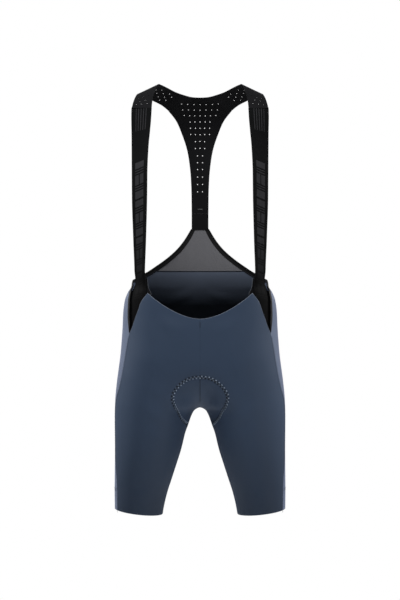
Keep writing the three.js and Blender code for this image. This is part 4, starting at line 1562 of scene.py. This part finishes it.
def make_pad():
    """Moulded foam under a brushed cover, thick in the middle with a channel down the centre."""
    front, back = pad_half(PAD_FRONT, False), pad_half(PAD_BACK, True)
    grids = [(front, False), (mirrored(front), True), (back, True), (mirrored(back), False)]
    made = mesh_object("seat_pad", grids, (pad_fabric, pad_fabric))
    mesh = made.data
    places, normals = np.zeros((2, len(mesh.vertices), 3))
    mesh.vertices.foreach_get("co", places.ravel())
    mesh.vertices.foreach_get("normal", normals.ravel())
    mesh.vertices.foreach_set("co", (places - normals * PAD_CLEAR * MM).ravel())
    faces_at = {}
    for polygon in mesh.polygons:
        for key in polygon.edge_keys:
            faces_at[key] = faces_at.get(key, 0) + 1
    border = places[sorted({i for key, count in faces_at.items() if count == 1 for i in key})]
    group = made.vertex_groups.new(name="thick")
    for i, place in enumerate(places):
        distance = np.linalg.norm(border - place, axis=1).min() / MM
        channel = math.exp(-((place[0] / MM / PAD_CHANNEL_REACH) ** 2))
        thick = mix(PAD_EDGE, PAD_THICKNESS, min(1, distance / PAD_RAMP))
        thick = max(PAD_LEAST, thick - PAD_CHANNEL_DEPTH * channel)
        group.add([i], thick / PAD_FOAM, "REPLACE")
    solid = made.modifiers.new("foam", "SOLIDIFY")
    solid.thickness = PAD_FOAM * MM
    solid.offset = -1
    solid.vertex_group = "thick"
    smooth(baked(made), 60)
    in_place(made, "pad_fabric", "pad")
    return made


def seam_runs():
    """Twin stitch lines of the flat seams, just above the cloth, on the wearer's left."""
    lift = CLOTH / 2 + 0.12
    runs = []

    def twin(z, place):
        points = body_point(z, place)
        normals = body_normal(z, place)
        along = np.gradient(points, axis=0)
        sideways = unit(np.cross(normals, along))
        for sign in (-1, 1):
            runs.append((points + sideways * TWIN_STITCH * sign + normals * lift, normals))

    for top, seam, count in ((APEX_Z, front_seam_round, 220), (CORNER_Z, side_back_round, 240)):
        z = np.linspace(top - STITCH_TOP_CLEAR, STITCH_BOTTOM_Z, count)
        twin(z, seam(z))
    place = np.linspace(*BAND_SEAM_ROUND, 160)
    z = np.full(place.shape, BAND_ROW[0])
    for _ in range(ROW_PASSES):
        z = BAND_ROW[0] + BAND_ROW[1] * body_point(z, place)[:, 0]
    twin(z, place)
    return runs


def outline_rise():
    """How far the eased front cloth stands out from the plain form, along the pad's outline."""
    cloth = front_half().reshape(-1, 3)
    rise = []
    for point, normal in zip(OUTLINE_POINTS, OUTLINE_NORMALS):
        nearest = np.argsort(np.linalg.norm(cloth - point, axis=1))[:4]
        rise.append(((cloth[nearest] - point) @ normal).mean())
    return np.array(rise)[:, None]


def make_stitching():
    runs = both_sides(seam_runs())
    threaded("seam_stitches", "side_knit", runs, RUNNING_STITCH, thread_dark, **SEAM_STITCH)
    rise = outline_rise() + CLOTH / 2
    # The pale zigzag is the thread; the dark one just under it is painted shade for the needle holes
    # along it
    for name, lift, thread, sizes in (
        ("pad_zigzag", 0.15, thread_pale, PAD_ZIGZAG),
        ("pad_zigzag_under", -0.05, thread_dark, PAD_ZIGZAG_SHADE),
    ):
        runs = both_sides([(OUTLINE_POINTS + OUTLINE_NORMALS * (rise + lift), OUTLINE_NORMALS)])
        threaded(name, "body_knit", runs, ZIGZAG, thread, **sizes)
    # A bar tack at the foot of the yoke, and a stitch line across the tab and each strap's top
    across = np.linspace(-0.5, 0.5, 24)
    inward = np.tile((0.0, -1, 0), (len(across), 1))
    tack, seam = (
        np.stack((across * width, np.full(24, y), np.full(24, z)), axis=-1)
        for width, y, z in (BAR_TACK_LINE, TAB_SEAM_LINE)
    )
    threaded("bar_tack", "perforated_knit", [(tack, inward)], ZIGZAG, tack_thread, **TACK_ZIGZAG)
    threaded(
        "tab_stitches", "perforated_knit", [(seam, inward)], RUNNING_STITCH, thread_grey,
        **SEAM_STITCH,
    )
    cloth = strap()
    outward = grid_normals(cloth)[STRAP_SEAM_ROW, 1:-1]
    top = cloth[STRAP_SEAM_ROW, 1:-1] + outward * (STRAP_WALL / 2 + 0.1)
    threaded(
        "strap_stitches", "strap_elastic", both_sides([(top, outward)]), RUNNING_STITCH,
        thread_black, **SEAM_STITCH,
    )


def make_stage():
    """A round pale floor below, small enough to lie under the frame of the photograph."""
    mesh = bpy.data.meshes.new("floor")
    turns = [2 * math.pi * i / FLOOR_CORNERS for i in range(FLOOR_CORNERS)]
    rim = [
        (FLOOR_RADIUS * math.cos(turn), FLOOR_RADIUS * math.sin(turn), FLOOR_Z) for turn in turns
    ]
    mesh.from_pydata(rim, [], [range(FLOOR_CORNERS)])
    floor = bpy.data.objects.new("floor", mesh)
    bpy.context.collection.objects.link(floor)
    mesh.materials.append(new_material("pale_floor", "f4f4f4", 0.9, 0.0)[0])


def make_lights():
    for name, (place, target, size, power) in LIGHTS.items():
        data = bpy.data.lights.new(name, "AREA")
        data.shape = "RECTANGLE"
        data.size, data.size_y = size
        data.energy = power
        light = bpy.data.objects.new(name, data)
        light.location = place
        aim = Vector(target) - Vector(place)
        light.rotation_euler = aim.to_track_quat("-Z", "Y").to_euler()
        bpy.context.collection.objects.link(light)


def make_room():
    """A dim white room that looks plain white to the camera."""
    world = bpy.data.worlds.new("studio")
    bpy.context.scene.world = world
    world.use_nodes = True
    tree = world.node_tree
    background = tree.nodes["Background"]
    background.inputs["Color"].default_value = (1, 1, 1, 1)
    background.inputs["Strength"].default_value = ROOM_LIGHT
    plain = add_node(tree, "ShaderNodeBackground", {"Color": (1, 1, 1, 1), "Strength": 1.0})
    path = add_node(tree, "ShaderNodeLightPath")
    choice = add_node(tree, "ShaderNodeMixShader", {
        0: path.outputs["Is Camera Ray"], 1: background.outputs[0], 2: plain.outputs[0],
    })
    tree.links.new(choice.outputs[0], tree.nodes["World Output"].inputs["Surface"])
    bpy.context.scene.view_settings.view_transform = "Standard"


def make_camera():
    data = bpy.data.cameras.new("camera")
    data.sensor_width = SENSOR
    data.sensor_fit = "AUTO"
    data.lens = SENSOR * CAMERA_DISTANCE / (PHOTO_PIXELS_HIGH * PIXEL)
    camera = bpy.data.objects.new("camera", data)
    camera.location = (CAMERA_X, -CAMERA_DISTANCE, CAMERA_Z)
    camera.rotation_euler = (math.pi / 2, 0, 0)
    bpy.context.collection.objects.link(camera)
    bpy.context.scene.camera = camera


make_lights()
make_room()
make_camera()
make_stage()
make_front()
make_pair(
    "side_panel", "side_knit", "side", drawn_in(side_panel(), SEAM_GAP / 2), False,
    (side_knit, cut_edge),
)
make_back()
make_bands()
make_pair("gore_cloth", "black_knit", "gore", gore(), False, (black_knit, gore_edge))
make_pair(
    "strap_cloth", "strap_elastic", "strap", strap(), False, (strap_elastic, strap_edge),
    STRAP_WALL, stretch=ELASTIC_STRETCH,
)
make_pair(
    "binding_cloth", "binding_elastic", "binding", binding(), False,
    (binding_elastic, binding_elastic), BINDING_WALL, stretch=ELASTIC_STRETCH,
    cut_width=BINDING_CUT,
)
make_centre("mesh_cloth", "mesh_knit", "back_mesh", back_mesh(), (mesh_knit, mesh_knit))
make_centre("tab_cloth", "perforated_knit", "back_tab", back_tab(), (black_knit, black_edge))
make_yoke()
make_pad()
make_stitching()
